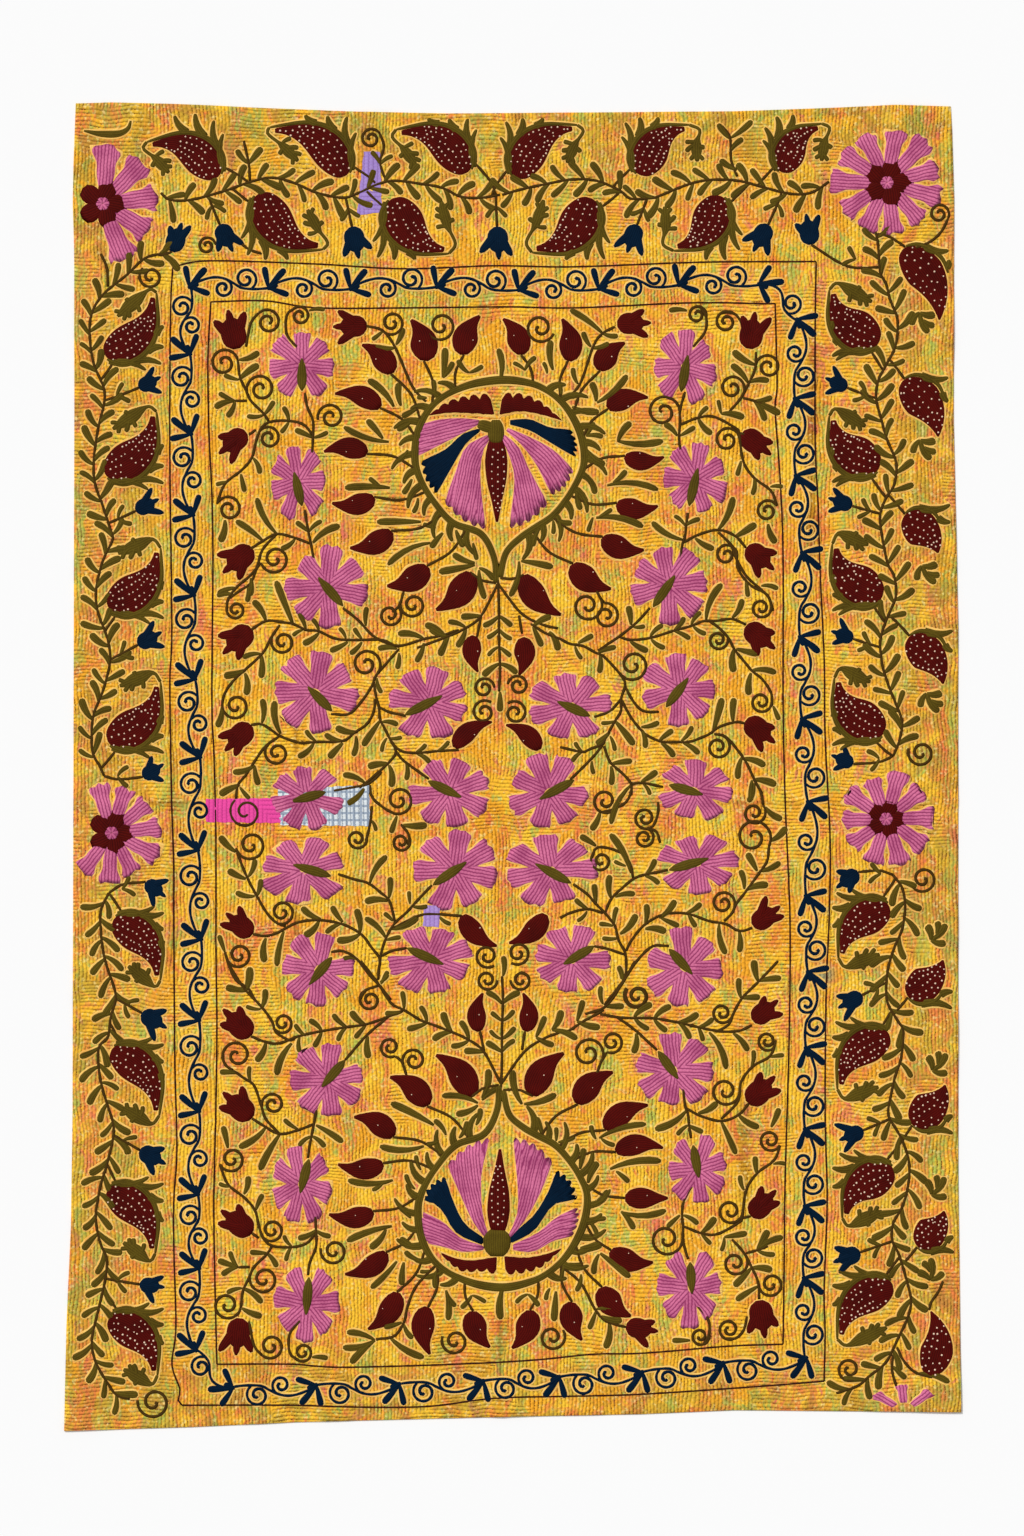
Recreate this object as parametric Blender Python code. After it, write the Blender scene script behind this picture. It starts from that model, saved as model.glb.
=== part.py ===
"""An embroidered throw lying flat: one quilted ground cloth with its hem and its stitched
motifs standing proud, and the mending patches sewn on it. Metres, +Z up."""

from collections import namedtuple
from math import atan2, cos, pi, sin, sqrt

import bmesh
import bpy

# Driving sizes, in metres.
CHART_STEP = 0.0017          # one step of the layout chart below, one pixel of the photograph
CHART_CENTRE_X = 512.7       # chart place of the cloth's middle
CHART_CENTRE_Y = 767.15
CLOTH_THICK = 0.0022         # several layers of thin cotton, quilted together
HEM_THICK = 0.0026           # the turned edge
HEM_WIDTH = 0.010
STITCH_TOP = 0.0030          # top of the raised embroidery
STITCH_ROOT = 0.0012         # where the raised shapes start, inside the cloth
PATCH_GAP = 0.0003
PATCH_THICK = 0.0005
WELD_DISTANCE = 0.00001      # joins a filled curve's caps to its sides

# Shape ratios of the motifs.
PAISLEY_STATIONS = (0.10, 0.33, 0.60, 0.86)   # along a paisley, from its round end
PAISLEY_WIDEST = 0.33
PAISLEY_BULGE = 0.28                          # of its length, towards its back
PAISLEY_BEND_AT = 0.45                        # where the bulge is, along its length
PAISLEY_TAPER = 1.25                          # power of the narrowing towards the tip
PAISLEY_HEEL = 0.25                           # of its radius, how far the round end leans
RIBBON_GAP = 0.0035
RIBBON_WIDTH = 0.0055
FLOWER_PETALS = 7
FLOWER_STEM_GAP = 1.22                        # radians left free where the stem arrives
FLOWER_VALLEY = 0.50                          # of the flower's radius
FLOWER_PETAL_HALF = 0.29                      # radians at the petal's end
BUD_WIDTHS = ((0.10, 0.62), (0.38, 1.0), (0.72, 0.52))   # place along it, share of its half width
TULIP_WAIST = 0.32                            # where the cup is widest, along the middle lobe
TULIP_HALF = 0.27                             # half width there, of the middle lobe's length
TULIP_NOTCH = 0.70                            # how far out the notches between the lobes reach
ROSETTE_PETAL_HALF = 0.20                     # radians at the petal's end
ROSETTE_PETAL_ROOT = 0.16                     # radians at its root
ROSETTE_DISC_GAP = 5 * CHART_STEP             # from the disc to the petals
ROSETTE_DISC_LOBES = 5
ROSETTE_DISC_NOTCH = 0.8                      # of the disc's radius, between its lobes
FAN_ROOT_AT = 0.08                            # a medallion petal's narrow end, along its length
FAN_ROOT_HALF = 0.045                         # half width there, of its length
FAN_WAIST_AT = 0.55
FAN_WAIST_SPREAD = 0.75                       # how near the waist is to the straight sides
FAN_ARCH = 1.07                               # reach of the outer edge's middle
CALYX_SIDES = 8
RING_STEPS = 20
RING_WIDTH = 0.015
RING_GAP = 0.32                               # radians, half the ring's opening


def table(columns, *rows):
    """Rows with named columns."""
    row_type = namedtuple("Row", columns)
    return [row_type(*row) for row in rows]


def place(x, y):
    """A place of the layout chart, in metres from the cloth's middle."""
    return ((x - CHART_CENTRE_X) * CHART_STEP, (CHART_CENTRE_Y - y) * CHART_STEP)


# The cloth's edge, clockwise from the top left corner, in chart steps.
CLOTH_EDGE = table(
    "x y",
    (76, 103.5), (105, 102.3), (170, 104), (257, 108), (360, 112), (448, 113.6), (600, 112.5),
    (738, 111.4), (835, 108), (900, 105), (928, 105), (931.6, 108), (950, 106.5), (952, 134),
    (954.4, 200), (953.5, 420), (956, 528), (958.2, 631), (958.4, 1180), (959.8, 1288),
    (962, 1412.7), (835, 1411), (733, 1410.3), (640, 1415), (495, 1418), (300, 1423),
    (194, 1428), (63.4, 1432), (66, 1315), (70.8, 1216), (72.4, 1110), (73, 870), (74, 400),
    (74.3, 253), (72.5, 206), (73.6, 167),
)

# Paisleys: the round end's centre and radius, the narrow tip, the end of the hooked outline,
# and which side of the run from round end to tip the arched back is on (1 left, -1 right).
PAISLEYS = table(
    "x y radius tip_x tip_y hook_x hook_y back",
    (206, 164, 17, 156, 141, 163, 158, -1), (337, 160, 17, 279, 131, 287, 145, -1),
    (457, 155, 17, 405, 132, 412, 152, -1), (524, 160, 17, 574, 129, 572, 147, 1),
    (647, 157, 17, 686, 129, 694, 146, 1), (787, 156, 15, 819, 128, 822, 145, 1),
    (268, 214, 19, 320, 246, 315, 227, -1), (401, 219, 19, 446, 250, 445, 224, -1),
    (583, 219, 19, 535, 249, 538, 223, 1), (714, 216, 18, 676, 247, 668, 226, 1),
    (123, 347, 17, 153, 296, 134, 304, -1), (121, 466, 20, 153, 419, 131, 419, -1),
    (123, 599, 20, 157, 555, 136, 548, -1), (124, 734, 20, 157, 689, 137, 681, -1),
    (131, 929, 17, 157, 977, 142, 975, 1), (129, 1059, 17, 156, 1112, 137, 1114, 1),
    (125, 1199, 17, 152, 1250, 137, 1250, 1), (127, 1326, 17, 154, 1372, 138, 1375, 1),
    (859, 333, 19, 833, 293, 854, 294, 1), (859, 459, 19, 833, 419, 850, 419, 1),
    (862, 588, 19, 836, 547, 853, 541, 1), (864, 723, 19, 838, 681, 855, 677, 1),
    (871, 914, 17, 842, 955, 862, 959, -1), (871, 1042, 17, 841, 1086, 861, 1091, -1),
    (874, 1177, 18, 846, 1215, 865, 1217, -1), (874, 1291, 17, 841, 1336, 866, 1335, -1),
    (913, 265, 16, 939, 322, 923, 320, 1), (915, 396, 16, 938, 438, 924, 447, 1),
    (918, 528, 16, 938, 554, 927, 572, 1), (921, 651, 16, 943, 685, 931, 700, 1),
    (922, 985, 15, 943, 959, 936, 934, -1), (926, 1111, 15, 945, 1084, 937, 1064, -1),
    (928, 1236, 15, 942, 1214, 936, 1188, -1), (930, 1360, 14, 933, 1313, 921, 1308, -1),
)

# Pink flowers: middle, half width and half height, and the place where the stem arrives.
FLOWERS = table(
    "x y half_x half_y stem_x stem_y",
    (302, 365, 32, 35, 302, 392), (298, 482, 28, 38, 302, 506), (327, 588, 40, 40, 343, 606),
    (316, 692, 40, 41, 332, 711), (429, 703, 41, 35, 405, 715), (572, 706, 41, 34, 590, 716),
    (680, 690, 37, 36, 689, 677), (669, 585, 37, 38, 653, 607), (684, 367, 31, 38, 681, 392),
    (695, 480, 31, 37, 689, 506), (307, 797, 36, 32, 326, 792), (449, 792, 40, 35, 429, 781),
    (549, 792, 39, 37, 573, 780), (695, 790, 39, 30, 704, 794), (304, 870, 43, 32, 331, 876),
    (455, 870, 42, 40, 433, 885), (551, 870, 44, 35, 571, 883), (697, 864, 41, 29, 710, 858),
    (318, 969, 36, 36, 332, 957), (431, 960, 42, 34, 407, 948), (572, 960, 39, 34, 595, 946),
    (684, 968, 39, 39, 669, 949), (328, 1080, 38, 37, 345, 1060), (674, 1070, 39, 36, 658, 1051),
    (301, 1184, 29, 39, 309, 1159), (697, 1169, 30, 36, 693, 1145), (307, 1303, 32, 38, 309, 1277),
    (690, 1288, 31, 38, 690, 1262),
)

# Almond buds round the two medallions and in the middle: stalk end, tip, half width.
BUDS = table(
    "x y tip_x tip_y half",
    (424, 361, 411, 320, 13), (391, 374, 362, 345, 11), (380, 408, 335, 394, 10),
    (367, 454, 324, 452, 10), (374, 497, 332, 503, 10), (391, 531, 350, 548, 11),
    (427, 566, 387, 586, 12), (470, 572, 436, 610, 13), (524, 575, 561, 615, 12),
    (573, 564, 611, 589, 12), (603, 537, 644, 550, 11), (617, 503, 658, 506, 10),
    (625, 456, 664, 457, 9), (608, 409, 648, 398, 10), (600, 371, 625, 343, 11),
    (568, 361, 562, 319, 11), (521, 355, 503, 319, 11), (464, 355, 480, 316, 12),
    (475, 636, 478, 672, 9), (521, 638, 519, 675, 10), (455, 748, 492, 722, 9),
    (539, 750, 506, 725, 9), (463, 915, 497, 946, 10), (545, 914, 509, 943, 10),
    (480, 1031, 483, 993, 9), (525, 1031, 523, 993, 9), (471, 1097, 436, 1055, 13),
    (533, 1096, 564, 1053, 13), (427, 1106, 390, 1077, 12), (578, 1104, 613, 1072, 12),
    (393, 1137, 354, 1117, 11), (606, 1130, 648, 1105, 11), (383, 1163, 338, 1164, 10),
    (616, 1152, 663, 1148, 10), (373, 1211, 329, 1214, 10), (625, 1198, 668, 1198, 10),
    (386, 1252, 345, 1274, 10), (611, 1250, 653, 1262, 11), (397, 1292, 368, 1329, 11),
    (602, 1287, 631, 1316, 12), (428, 1307, 430, 1354, 11), (572, 1302, 582, 1340, 11),
    (476, 1311, 477, 1350, 10), (525, 1311, 530, 1350, 10),
)

# Tulips, the maroon ones of the field and then the navy ones of the border: the base and the
# tips of the three lobes.
TULIPS = table(
    "x y left_x left_y middle_x middle_y right_x right_y",
    (237, 349, 214, 321, 228, 310, 245, 312), (367, 326, 338, 311, 333, 327, 338, 344),
    (246, 432, 218, 437, 219, 454, 231, 464), (252, 548, 217, 555, 223, 573, 239, 580),
    (251, 628, 218, 636, 223, 654, 238, 660), (251, 725, 218, 737, 225, 751, 235, 756),
    (252, 935, 220, 924, 226, 913, 239, 906), (251, 1036, 220, 1024, 223, 1009, 239, 1006),
    (252, 1118, 219, 1107, 223, 1092, 242, 1086), (252, 1233, 218, 1223, 221, 1210, 238, 1204),
    (240, 1318, 219, 1351, 236, 1355, 252, 1352), (749, 349, 742, 316, 755, 312, 771, 318),
    (617, 324, 644, 310, 651, 323, 648, 337), (742, 433, 773, 443, 771, 455, 759, 460),
    (747, 547, 777, 553, 774, 570, 759, 578), (746, 626, 775, 633, 775, 649, 758, 656),
    (746, 720, 775, 728, 775, 743, 762, 752), (753, 926, 784, 916, 780, 906, 766, 896),
    (753, 1021, 783, 1014, 778, 1000, 765, 996), (748, 1103, 781, 1090, 775, 1076, 761, 1072),
    (751, 1216, 780, 1202, 776, 1190, 762, 1186), (759, 1300, 748, 1333, 765, 1338, 778, 1326),
    (626, 1326, 655, 1321, 658, 1331, 648, 1347),
    (172, 252, 170, 226, 182, 223, 191, 226), (220, 225, 218, 252, 233, 252, 244, 245),
    (352, 227, 344, 257, 359, 259, 372, 249), (497, 227, 480, 253, 499, 260, 512, 256),
    (637, 225, 614, 247, 627, 253, 642, 256), (768, 225, 742, 241, 753, 252, 768, 256),
    (811, 245, 795, 224, 806, 214, 819, 215), (139, 388, 154, 367, 161, 377, 162, 393),
    (136, 511, 152, 488, 159, 499, 164, 513), (138, 645, 154, 621, 162, 632, 165, 647),
    (143, 777, 152, 756, 164, 764, 164, 781), (146, 882, 169, 880, 166, 897, 154, 907),
    (142, 1013, 167, 1010, 167, 1028, 155, 1041), (140, 1150, 165, 1148, 166, 1164, 154, 1175),
    (140, 1284, 164, 1276, 165, 1287, 154, 1303), (847, 388, 833, 366, 825, 378, 825, 394),
    (852, 506, 833, 488, 828, 498, 828, 512), (853, 639, 840, 618, 831, 631, 832, 644),
    (853, 764, 844, 746, 831, 755, 833, 770), (858, 872, 836, 871, 836, 888, 849, 893),
    (862, 995, 836, 996, 838, 1008, 844, 1021), (863, 1130, 834, 1124, 839, 1140, 844, 1152),
    (860, 1252, 834, 1247, 833, 1262, 839, 1273),
)

# Rosettes at the corners and half way down the sides: middle, radius at the petals' ends,
# radius of the middle disc, and the compass angle of the first petal, the step between petals
# and how many there are. The left ones are cut off by the cloth's edge.
ROSETTES = table(
    "x y radius disc first_deg step_deg petals",
    (103, 204, 57, 21, 84, -38.5, 5), (887, 183, 54, 22, 81, -32.7, 11),
    (112, 833, 49, 20, 106, -33.3, 8), (886, 819, 46, 18, 2, 36, 10),
)

# Medallion flowers: middle of the ring, its half width and half height, and the way the open
# side faces (-1 down the chart, 1 up).
MEDALLIONS = table("x y half_x half_y opens", (495, 456, 84, 78, -1), (500, 1212, 84, 74, 1))

# Petals of a medallion flower from the calyx outwards: root, the two ends of the outer edge.
MEDALLION_PETALS = table(
    "root_x root_y from_x from_y to_x to_y",
    (481, 421, 424, 422, 419, 455), (479, 431, 422, 462, 436, 495), (485, 441, 444, 498, 483, 529),
    (506, 438, 511, 527, 547, 504), (514, 429, 556, 494, 573, 470), (512, 421, 571, 431, 573, 457),
    (489, 1234, 485, 1146, 448, 1168), (483, 1240, 450, 1176, 424, 1199),
    (481, 1250, 422, 1213, 428, 1242), (510, 1234, 514, 1142, 549, 1165),
    (516, 1240, 558, 1172, 577, 1196), (518, 1248, 576, 1208, 570, 1235),
)

# The scalloped pair at a medallion's foot and the upright spindle: stalk end, tip, half width.
MEDALLION_BLADES = table(
    "x y tip_x tip_y half",
    (488, 407, 430, 414, 9), (501, 407, 562, 416, 9), (496, 441, 497, 520, 11),
    (497, 1262, 441, 1256, 9), (506, 1262, 562, 1252, 9), (500, 1229, 500, 1150, 12),
)

CALYX_PLACES = table("x y radius", (496, 429, 9), (499, 1243, 9))

# Mending patches, where they show clear of the motifs: two opposite corners.
PATCHES = table(
    "name from_x from_y to_x to_y",
    ("patch_pink", 219, 798, 268, 823), ("patch_white", 346, 787, 369, 825),
    ("patch_lilac_top", 359, 182, 380, 195), ("patch_lilac_low", 424, 906, 439, 920),
)

# Material looks: colour, roughness.
COLOURS = {
    "ground_cotton": ((0.85, 0.44, 0.05, 1.0), 0.85),
    "patch_pink": ((0.83, 0.08, 0.36, 1.0), 0.85),
    "patch_white": ((0.72, 0.80, 0.83, 1.0), 0.85),
    "patch_lilac_top": ((0.38, 0.26, 0.60, 1.0), 0.85),
    "patch_lilac_low": ((0.38, 0.26, 0.60, 1.0), 0.85),
}


def step(origin, direction, side, along, across):
    """A point that lies along and across a direction from its origin."""
    return (
        origin[0] + direction[0] * along + side[0] * across,
        origin[1] + direction[1] * along + side[1] * across,
    )


def run(start, end):
    """Unit direction from start to end, the unit vector to its left, and the length."""
    dx, dy = end[0] - start[0], end[1] - start[1]
    length = sqrt(dx * dx + dy * dy)
    direction = (dx / length, dy / length)
    return direction, (-direction[1], direction[0]), length


def paisley_frame(row, t):
    """Centre point, left normal and half width of a paisley at t, from round end to tip."""
    head, tip = place(row.x, row.y), place(row.tip_x, row.tip_y)
    radius = row.radius * CHART_STEP
    direction, left, length = run(head, tip)
    start = step(head, direction, left, -radius, -row.back * radius * PAISLEY_HEEL)
    bend = step(head, direction, left, PAISLEY_BEND_AT * length, row.back * PAISLEY_BULGE * length)
    a, b, c = (1 - t) ** 2, 2 * t * (1 - t), t * t
    centre = (a * start[0] + b * bend[0] + c * tip[0], a * start[1] + b * bend[1] + c * tip[1])
    slope = (
        (1 - t) * (bend[0] - start[0]) + t * (tip[0] - bend[0]),
        (1 - t) * (bend[1] - start[1]) + t * (tip[1] - bend[1]),
    )
    size = sqrt(slope[0] ** 2 + slope[1] ** 2)
    normal = (-slope[1] / size, slope[0] / size)
    if t < PAISLEY_WIDEST:
        half = radius * sqrt(1 - (1 - t / PAISLEY_WIDEST) ** 2)
    else:
        half = radius * (1 - ((t - PAISLEY_WIDEST) / (1 - PAISLEY_WIDEST)) ** PAISLEY_TAPER)
    return centre, normal, half


def paisley_fill(row):
    """Teardrop: a bent centre line with a half ellipse and then a taper for its half width."""
    frames = [paisley_frame(row, t) for t in PAISLEY_STATIONS]
    one_side = [step(c, n, n, half, 0) for c, n, half in frames]
    other_side = [step(c, n, n, -half, 0) for c, n, half in frames]
    start = paisley_frame(row, 0)[0]
    tip = paisley_frame(row, 1)[0]
    return [start] + one_side + [tip] + other_side[::-1]


def band(points, half_widths):
    """A strip round an open path: its points moved to both sides, square to the path."""
    one_side, other_side = [], []
    for k, here in enumerate(points):
        before, after = points[max(k - 1, 0)], points[min(k + 1, len(points) - 1)]
        _, left, _ = run(before, after)
        one_side.append(step(here, left, left, half_widths[k], 0))
        other_side.append(step(here, left, left, -half_widths[k], 0))
    return one_side + other_side[::-1]


def paisley_ribbon(row):
    """The outline stitched along the arched back and round the tip to its hooked end."""
    route = []
    for t in PAISLEY_STATIONS:
        centre, normal, half = paisley_frame(row, t)
        reach = row.back * (half + RIBBON_GAP + RIBBON_WIDTH / 2)
        route.append(step(centre, normal, normal, reach, 0))
    tip, normal, _ = paisley_frame(row, 1)
    onward = (normal[1], -normal[0])
    route.append(step(tip, onward, onward, RIBBON_GAP + RIBBON_WIDTH, 0))
    route.append(place(row.hook_x, row.hook_y))
    half = RIBBON_WIDTH / 2
    return band(route, [half] * (len(route) - 1) + [1.5 * half])


def flower(row):
    """Blunt petals round a middle, evenly spread but for a wider gap at the stem."""
    middle = place(row.x, row.y)
    stem = place(row.stem_x, row.stem_y)
    half_x, half_y = row.half_x * CHART_STEP, row.half_y * CHART_STEP
    first = atan2(stem[1] - middle[1], stem[0] - middle[0]) + FLOWER_STEM_GAP / 2
    turn = (2 * pi - FLOWER_STEM_GAP) / (FLOWER_PETALS - 1)
    outline = []
    for petal in range(FLOWER_PETALS):
        angle = first + petal * turn
        for turned, reach in (
            (-FLOWER_PETAL_HALF, 1.0),
            (FLOWER_PETAL_HALF, 1.0),
            (turn / 2, FLOWER_VALLEY),
        ):
            outline.append((
                middle[0] + half_x * reach * cos(angle + turned),
                middle[1] + half_y * reach * sin(angle + turned),
            ))
    return outline


def almond(row):
    """A bud or spindle: pointed at its tip, with its half widths along its length."""
    start, tip = place(row.x, row.y), place(row.tip_x, row.tip_y)
    direction, left, length = run(start, tip)
    half = row.half * CHART_STEP
    one_side = [step(start, direction, left, t * length, w * half) for t, w in BUD_WIDTHS]
    other_side = [step(start, direction, left, t * length, -w * half) for t, w in BUD_WIDTHS]
    return [start] + one_side + [tip] + other_side[::-1]


def tulip(row):
    """A cup on its base with three lobes."""
    base = place(row.x, row.y)
    tips = [
        place(row.left_x, row.left_y),
        place(row.middle_x, row.middle_y),
        place(row.right_x, row.right_y),
    ]
    direction, left, length = run(base, tips[1])
    offset = [(t[0] - base[0]) * left[0] + (t[1] - base[1]) * left[1] for t in tips]
    turn = 1 if offset[0] > 0 else -1
    half = TULIP_HALF * length

    def notch(one, two):
        return (
            base[0] + TULIP_NOTCH * ((one[0] + two[0]) / 2 - base[0]),
            base[1] + TULIP_NOTCH * ((one[1] + two[1]) / 2 - base[1]),
        )

    return [
        base,
        step(base, direction, left, TULIP_WAIST * length, turn * half),
        tips[0],
        notch(tips[0], tips[1]),
        tips[1],
        notch(tips[1], tips[2]),
        tips[2],
        step(base, direction, left, TULIP_WAIST * length, -turn * half),
    ]


def ring_of(middle, half_x, half_y, angles):
    """Points on an ellipse."""
    return [(middle[0] + half_x * cos(a), middle[1] + half_y * sin(a)) for a in angles]


def rosette_petal(row, petal):
    """A petal that widens from the disc outwards."""
    middle = place(row.x, row.y)
    angle = (row.first_deg + row.step_deg * petal) * pi / 180
    inner, outer = row.disc * CHART_STEP + ROSETTE_DISC_GAP, row.radius * CHART_STEP
    half, root = ROSETTE_PETAL_HALF, ROSETTE_PETAL_ROOT
    return (
        ring_of(middle, inner, inner, [angle - root])
        + ring_of(middle, outer, outer, [angle - half, angle + half])
        + ring_of(middle, inner, inner, [angle + root])
    )


def rosette_disc(row):
    """A five-lobed disc."""
    middle, radius = place(row.x, row.y), row.disc * CHART_STEP
    outline = []
    for lobe in range(ROSETTE_DISC_LOBES):
        for turn, reach in ((0, 1.0), (0.5, ROSETTE_DISC_NOTCH)):
            angle = 2 * pi * (lobe + turn) / ROSETTE_DISC_LOBES
            outline += ring_of(middle, radius * reach, radius * reach, [angle])
    return outline


def medallion_ring(row):
    """An open ring: an outer and an inner arc that stop short of the open side."""
    middle = place(row.x, row.y)
    opening = row.opens * pi / 2
    sweep = 2 * pi - 2 * RING_GAP
    angles = [opening + RING_GAP + sweep * k / RING_STEPS for k in range(RING_STEPS + 1)]
    half_x, half_y = row.half_x * CHART_STEP, row.half_y * CHART_STEP
    outer = ring_of(middle, half_x + RING_WIDTH, half_y + RING_WIDTH, angles)
    inner = ring_of(middle, half_x, half_y, angles)
    return outer + inner[::-1]


def medallion_petal(row):
    """A fan: narrow at its root, with an arched outer edge."""
    root = place(row.root_x, row.root_y)
    one, two = place(row.from_x, row.from_y), place(row.to_x, row.to_y)
    middle = ((one[0] + two[0]) / 2, (one[1] + two[1]) / 2)
    direction, left, length = run(root, middle)
    side = 1 if (one[0] - root[0]) * left[0] + (one[1] - root[1]) * left[1] > 0 else -1
    narrow = FAN_ROOT_HALF * length

    def waist(end):
        wide = (
            middle[0] + FAN_WAIST_SPREAD * (end[0] - middle[0]),
            middle[1] + FAN_WAIST_SPREAD * (end[1] - middle[1]),
        )
        return (
            root[0] + FAN_WAIST_AT * (wide[0] - root[0]),
            root[1] + FAN_WAIST_AT * (wide[1] - root[1]),
        )

    return [
        step(root, direction, left, FAN_ROOT_AT * length, side * narrow),
        waist(one),
        one,
        step(root, direction, left, FAN_ARCH * length, 0),
        two,
        waist(two),
        step(root, direction, left, FAN_ROOT_AT * length, -side * narrow),
    ]


def calyx(row):
    """A small round boss where the medallion's petals meet."""
    middle, radius = place(row.x, row.y), row.radius * CHART_STEP
    angles = [2 * pi * k / CALYX_SIDES for k in range(CALYX_SIDES)]
    return ring_of(middle, radius, radius, angles)


def inset(points, distance):
    """A closed clockwise outline moved inwards, corner by corner."""
    moved = []
    for k, here in enumerate(points):
        before, after = points[k - 1], points[(k + 1) % len(points)]
        _, left_in, _ = run(before, here)
        _, left_out, _ = run(here, after)
        across = (-left_in[0] - left_out[0], -left_in[1] - left_out[1])
        square = across[0] ** 2 + across[1] ** 2
        moved.append((
            here[0] + across[0] * 2 * distance / square,
            here[1] + across[1] * 2 * distance / square,
        ))
    return moved


def material_of(name):
    """One plain Principled material for a sub-part."""
    colour, roughness = COLOURS[name]
    material = bpy.data.materials.new(name)
    material.diffuse_color = colour
    material.use_nodes = True
    shader = material.node_tree.nodes["Principled BSDF"]
    shader.inputs["Base Color"].default_value = colour
    shader.inputs["Roughness"].default_value = roughness
    shader.inputs["Metallic"].default_value = 0.0
    return material


def flat_shapes(name, outlines, bottom, top, collection):
    """Closed flat outlines raised from bottom to top, as one filled 2D curve made a mesh."""
    curve = bpy.data.curves.new(name, "CURVE")
    curve.dimensions = "2D"
    curve.fill_mode = "BOTH"
    curve.extrude = (top - bottom) / 2
    for outline in outlines:
        spline = curve.splines.new("POLY")
        spline.points.add(len(outline) - 1)
        spline.points.foreach_set("co", [value for x, y in outline for value in (x, y, 0, 1)])
        spline.use_cyclic_u = True
    shaped = bpy.data.objects.new(name + "_curve", curve)
    shaped.location.z = (top + bottom) / 2
    bpy.context.scene.collection.objects.link(shaped)
    bpy.context.view_layer.update()
    seen = bpy.context.evaluated_depsgraph_get()
    mesh = bpy.data.meshes.new_from_object(shaped.evaluated_get(seen))
    mesh.name = name
    weld(mesh)
    made = bpy.data.objects.new(name, mesh)
    made.matrix_world = shaped.matrix_world
    collection.objects.link(made)
    bpy.data.objects.remove(shaped)
    return made


def weld(mesh):
    """The curve's loose caps joined to its sides, with every face pointing out."""
    work = bmesh.new()
    work.from_mesh(mesh)
    bmesh.ops.remove_doubles(work, verts=work.verts, dist=WELD_DISTANCE)
    bmesh.ops.recalc_face_normals(work, faces=work.faces)
    work.to_mesh(mesh)
    work.free()


def join_by_boolean(target, other, operation):
    """A live Boolean on the target, whose operand is only a guide."""
    other.hide_render = True
    other.display_type = "WIRE"
    modifier = target.modifiers.new(other.name, "BOOLEAN")
    modifier.operation = operation
    modifier.solver = "EXACT"
    modifier.object = other


def stitched_outlines():
    """Every raised motif, each an outline clear of the others."""
    outlines = []
    for row in PAISLEYS:
        outlines.append(paisley_fill(row))
        outlines.append(paisley_ribbon(row))
    outlines += [flower(row) for row in FLOWERS]
    outlines += [almond(row) for row in BUDS]
    outlines += [tulip(row) for row in TULIPS]
    for row in ROSETTES:
        outlines += [rosette_petal(row, petal) for petal in range(row.petals)]
        outlines.append(rosette_disc(row))
    outlines += [medallion_ring(row) for row in MEDALLIONS]
    outlines += [medallion_petal(row) for row in MEDALLION_PETALS]
    outlines += [almond(row) for row in MEDALLION_BLADES]
    outlines += [calyx(row) for row in CALYX_PLACES]
    return outlines


def build_ground_cloth(parts, guides):
    """The quilted sheet: its uneven outline, a thicker hem round the edge, raised stitching."""
    edge = [place(row.x, row.y) for row in CLOTH_EDGE]
    cloth = flat_shapes("ground_cloth", [edge], 0.0, HEM_THICK, parts)
    field = flat_shapes("field_recess", [inset(edge, HEM_WIDTH)], CLOTH_THICK, 2 * HEM_THICK, guides)
    stitching = flat_shapes("stitching", stitched_outlines(), STITCH_ROOT, STITCH_TOP, guides)
    join_by_boolean(cloth, field, "DIFFERENCE")
    join_by_boolean(cloth, stitching, "UNION")
    cloth.data.materials.append(material_of("ground_cotton"))


def build_patches(parts):
    """Small rectangles of other cotton, sewn on and standing a hair above the ground."""
    low = CLOTH_THICK + PATCH_GAP
    for row in PATCHES:
        corners = [
            place(row.from_x, row.from_y),
            place(row.to_x, row.from_y),
            place(row.to_x, row.to_y),
            place(row.from_x, row.to_y),
        ]
        patch = flat_shapes(row.name, [corners], low, low + PATCH_THICK, parts)
        patch.data.materials.append(material_of(row.name))


def main():
    for old in list(bpy.data.objects):
        bpy.data.objects.remove(old)
    parts = bpy.data.collections.new("embroidered_throw")
    guides = bpy.data.collections.new("guides")
    for collection in (parts, guides):
        bpy.context.scene.collection.children.link(collection)
    build_ground_cloth(parts, guides)
    build_patches(parts)


main()
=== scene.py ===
from math import pi, radians

import bpy
import numpy as np
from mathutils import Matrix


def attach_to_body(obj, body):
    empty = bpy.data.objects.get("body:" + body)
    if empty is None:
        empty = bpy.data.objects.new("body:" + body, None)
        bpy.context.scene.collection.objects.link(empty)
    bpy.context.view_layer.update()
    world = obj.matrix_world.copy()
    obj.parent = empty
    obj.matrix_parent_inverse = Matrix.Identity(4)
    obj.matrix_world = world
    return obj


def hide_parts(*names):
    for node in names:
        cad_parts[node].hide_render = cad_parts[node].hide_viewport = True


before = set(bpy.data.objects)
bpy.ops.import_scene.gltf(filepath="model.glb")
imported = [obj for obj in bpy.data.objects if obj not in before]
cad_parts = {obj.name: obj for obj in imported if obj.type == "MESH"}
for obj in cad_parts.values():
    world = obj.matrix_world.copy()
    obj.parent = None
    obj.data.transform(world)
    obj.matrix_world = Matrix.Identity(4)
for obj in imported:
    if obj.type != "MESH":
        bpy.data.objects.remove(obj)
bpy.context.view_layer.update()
print("frame loaded")

# The layout chart has one step for one pixel of the photograph, x to the right and y down.
chart = {"step": 0.0017, "centreX": 512.7, "centreY": 767.15, "mirrorX": -3, "mirrorY": 1668, "mirrorDrop": 17}


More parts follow.
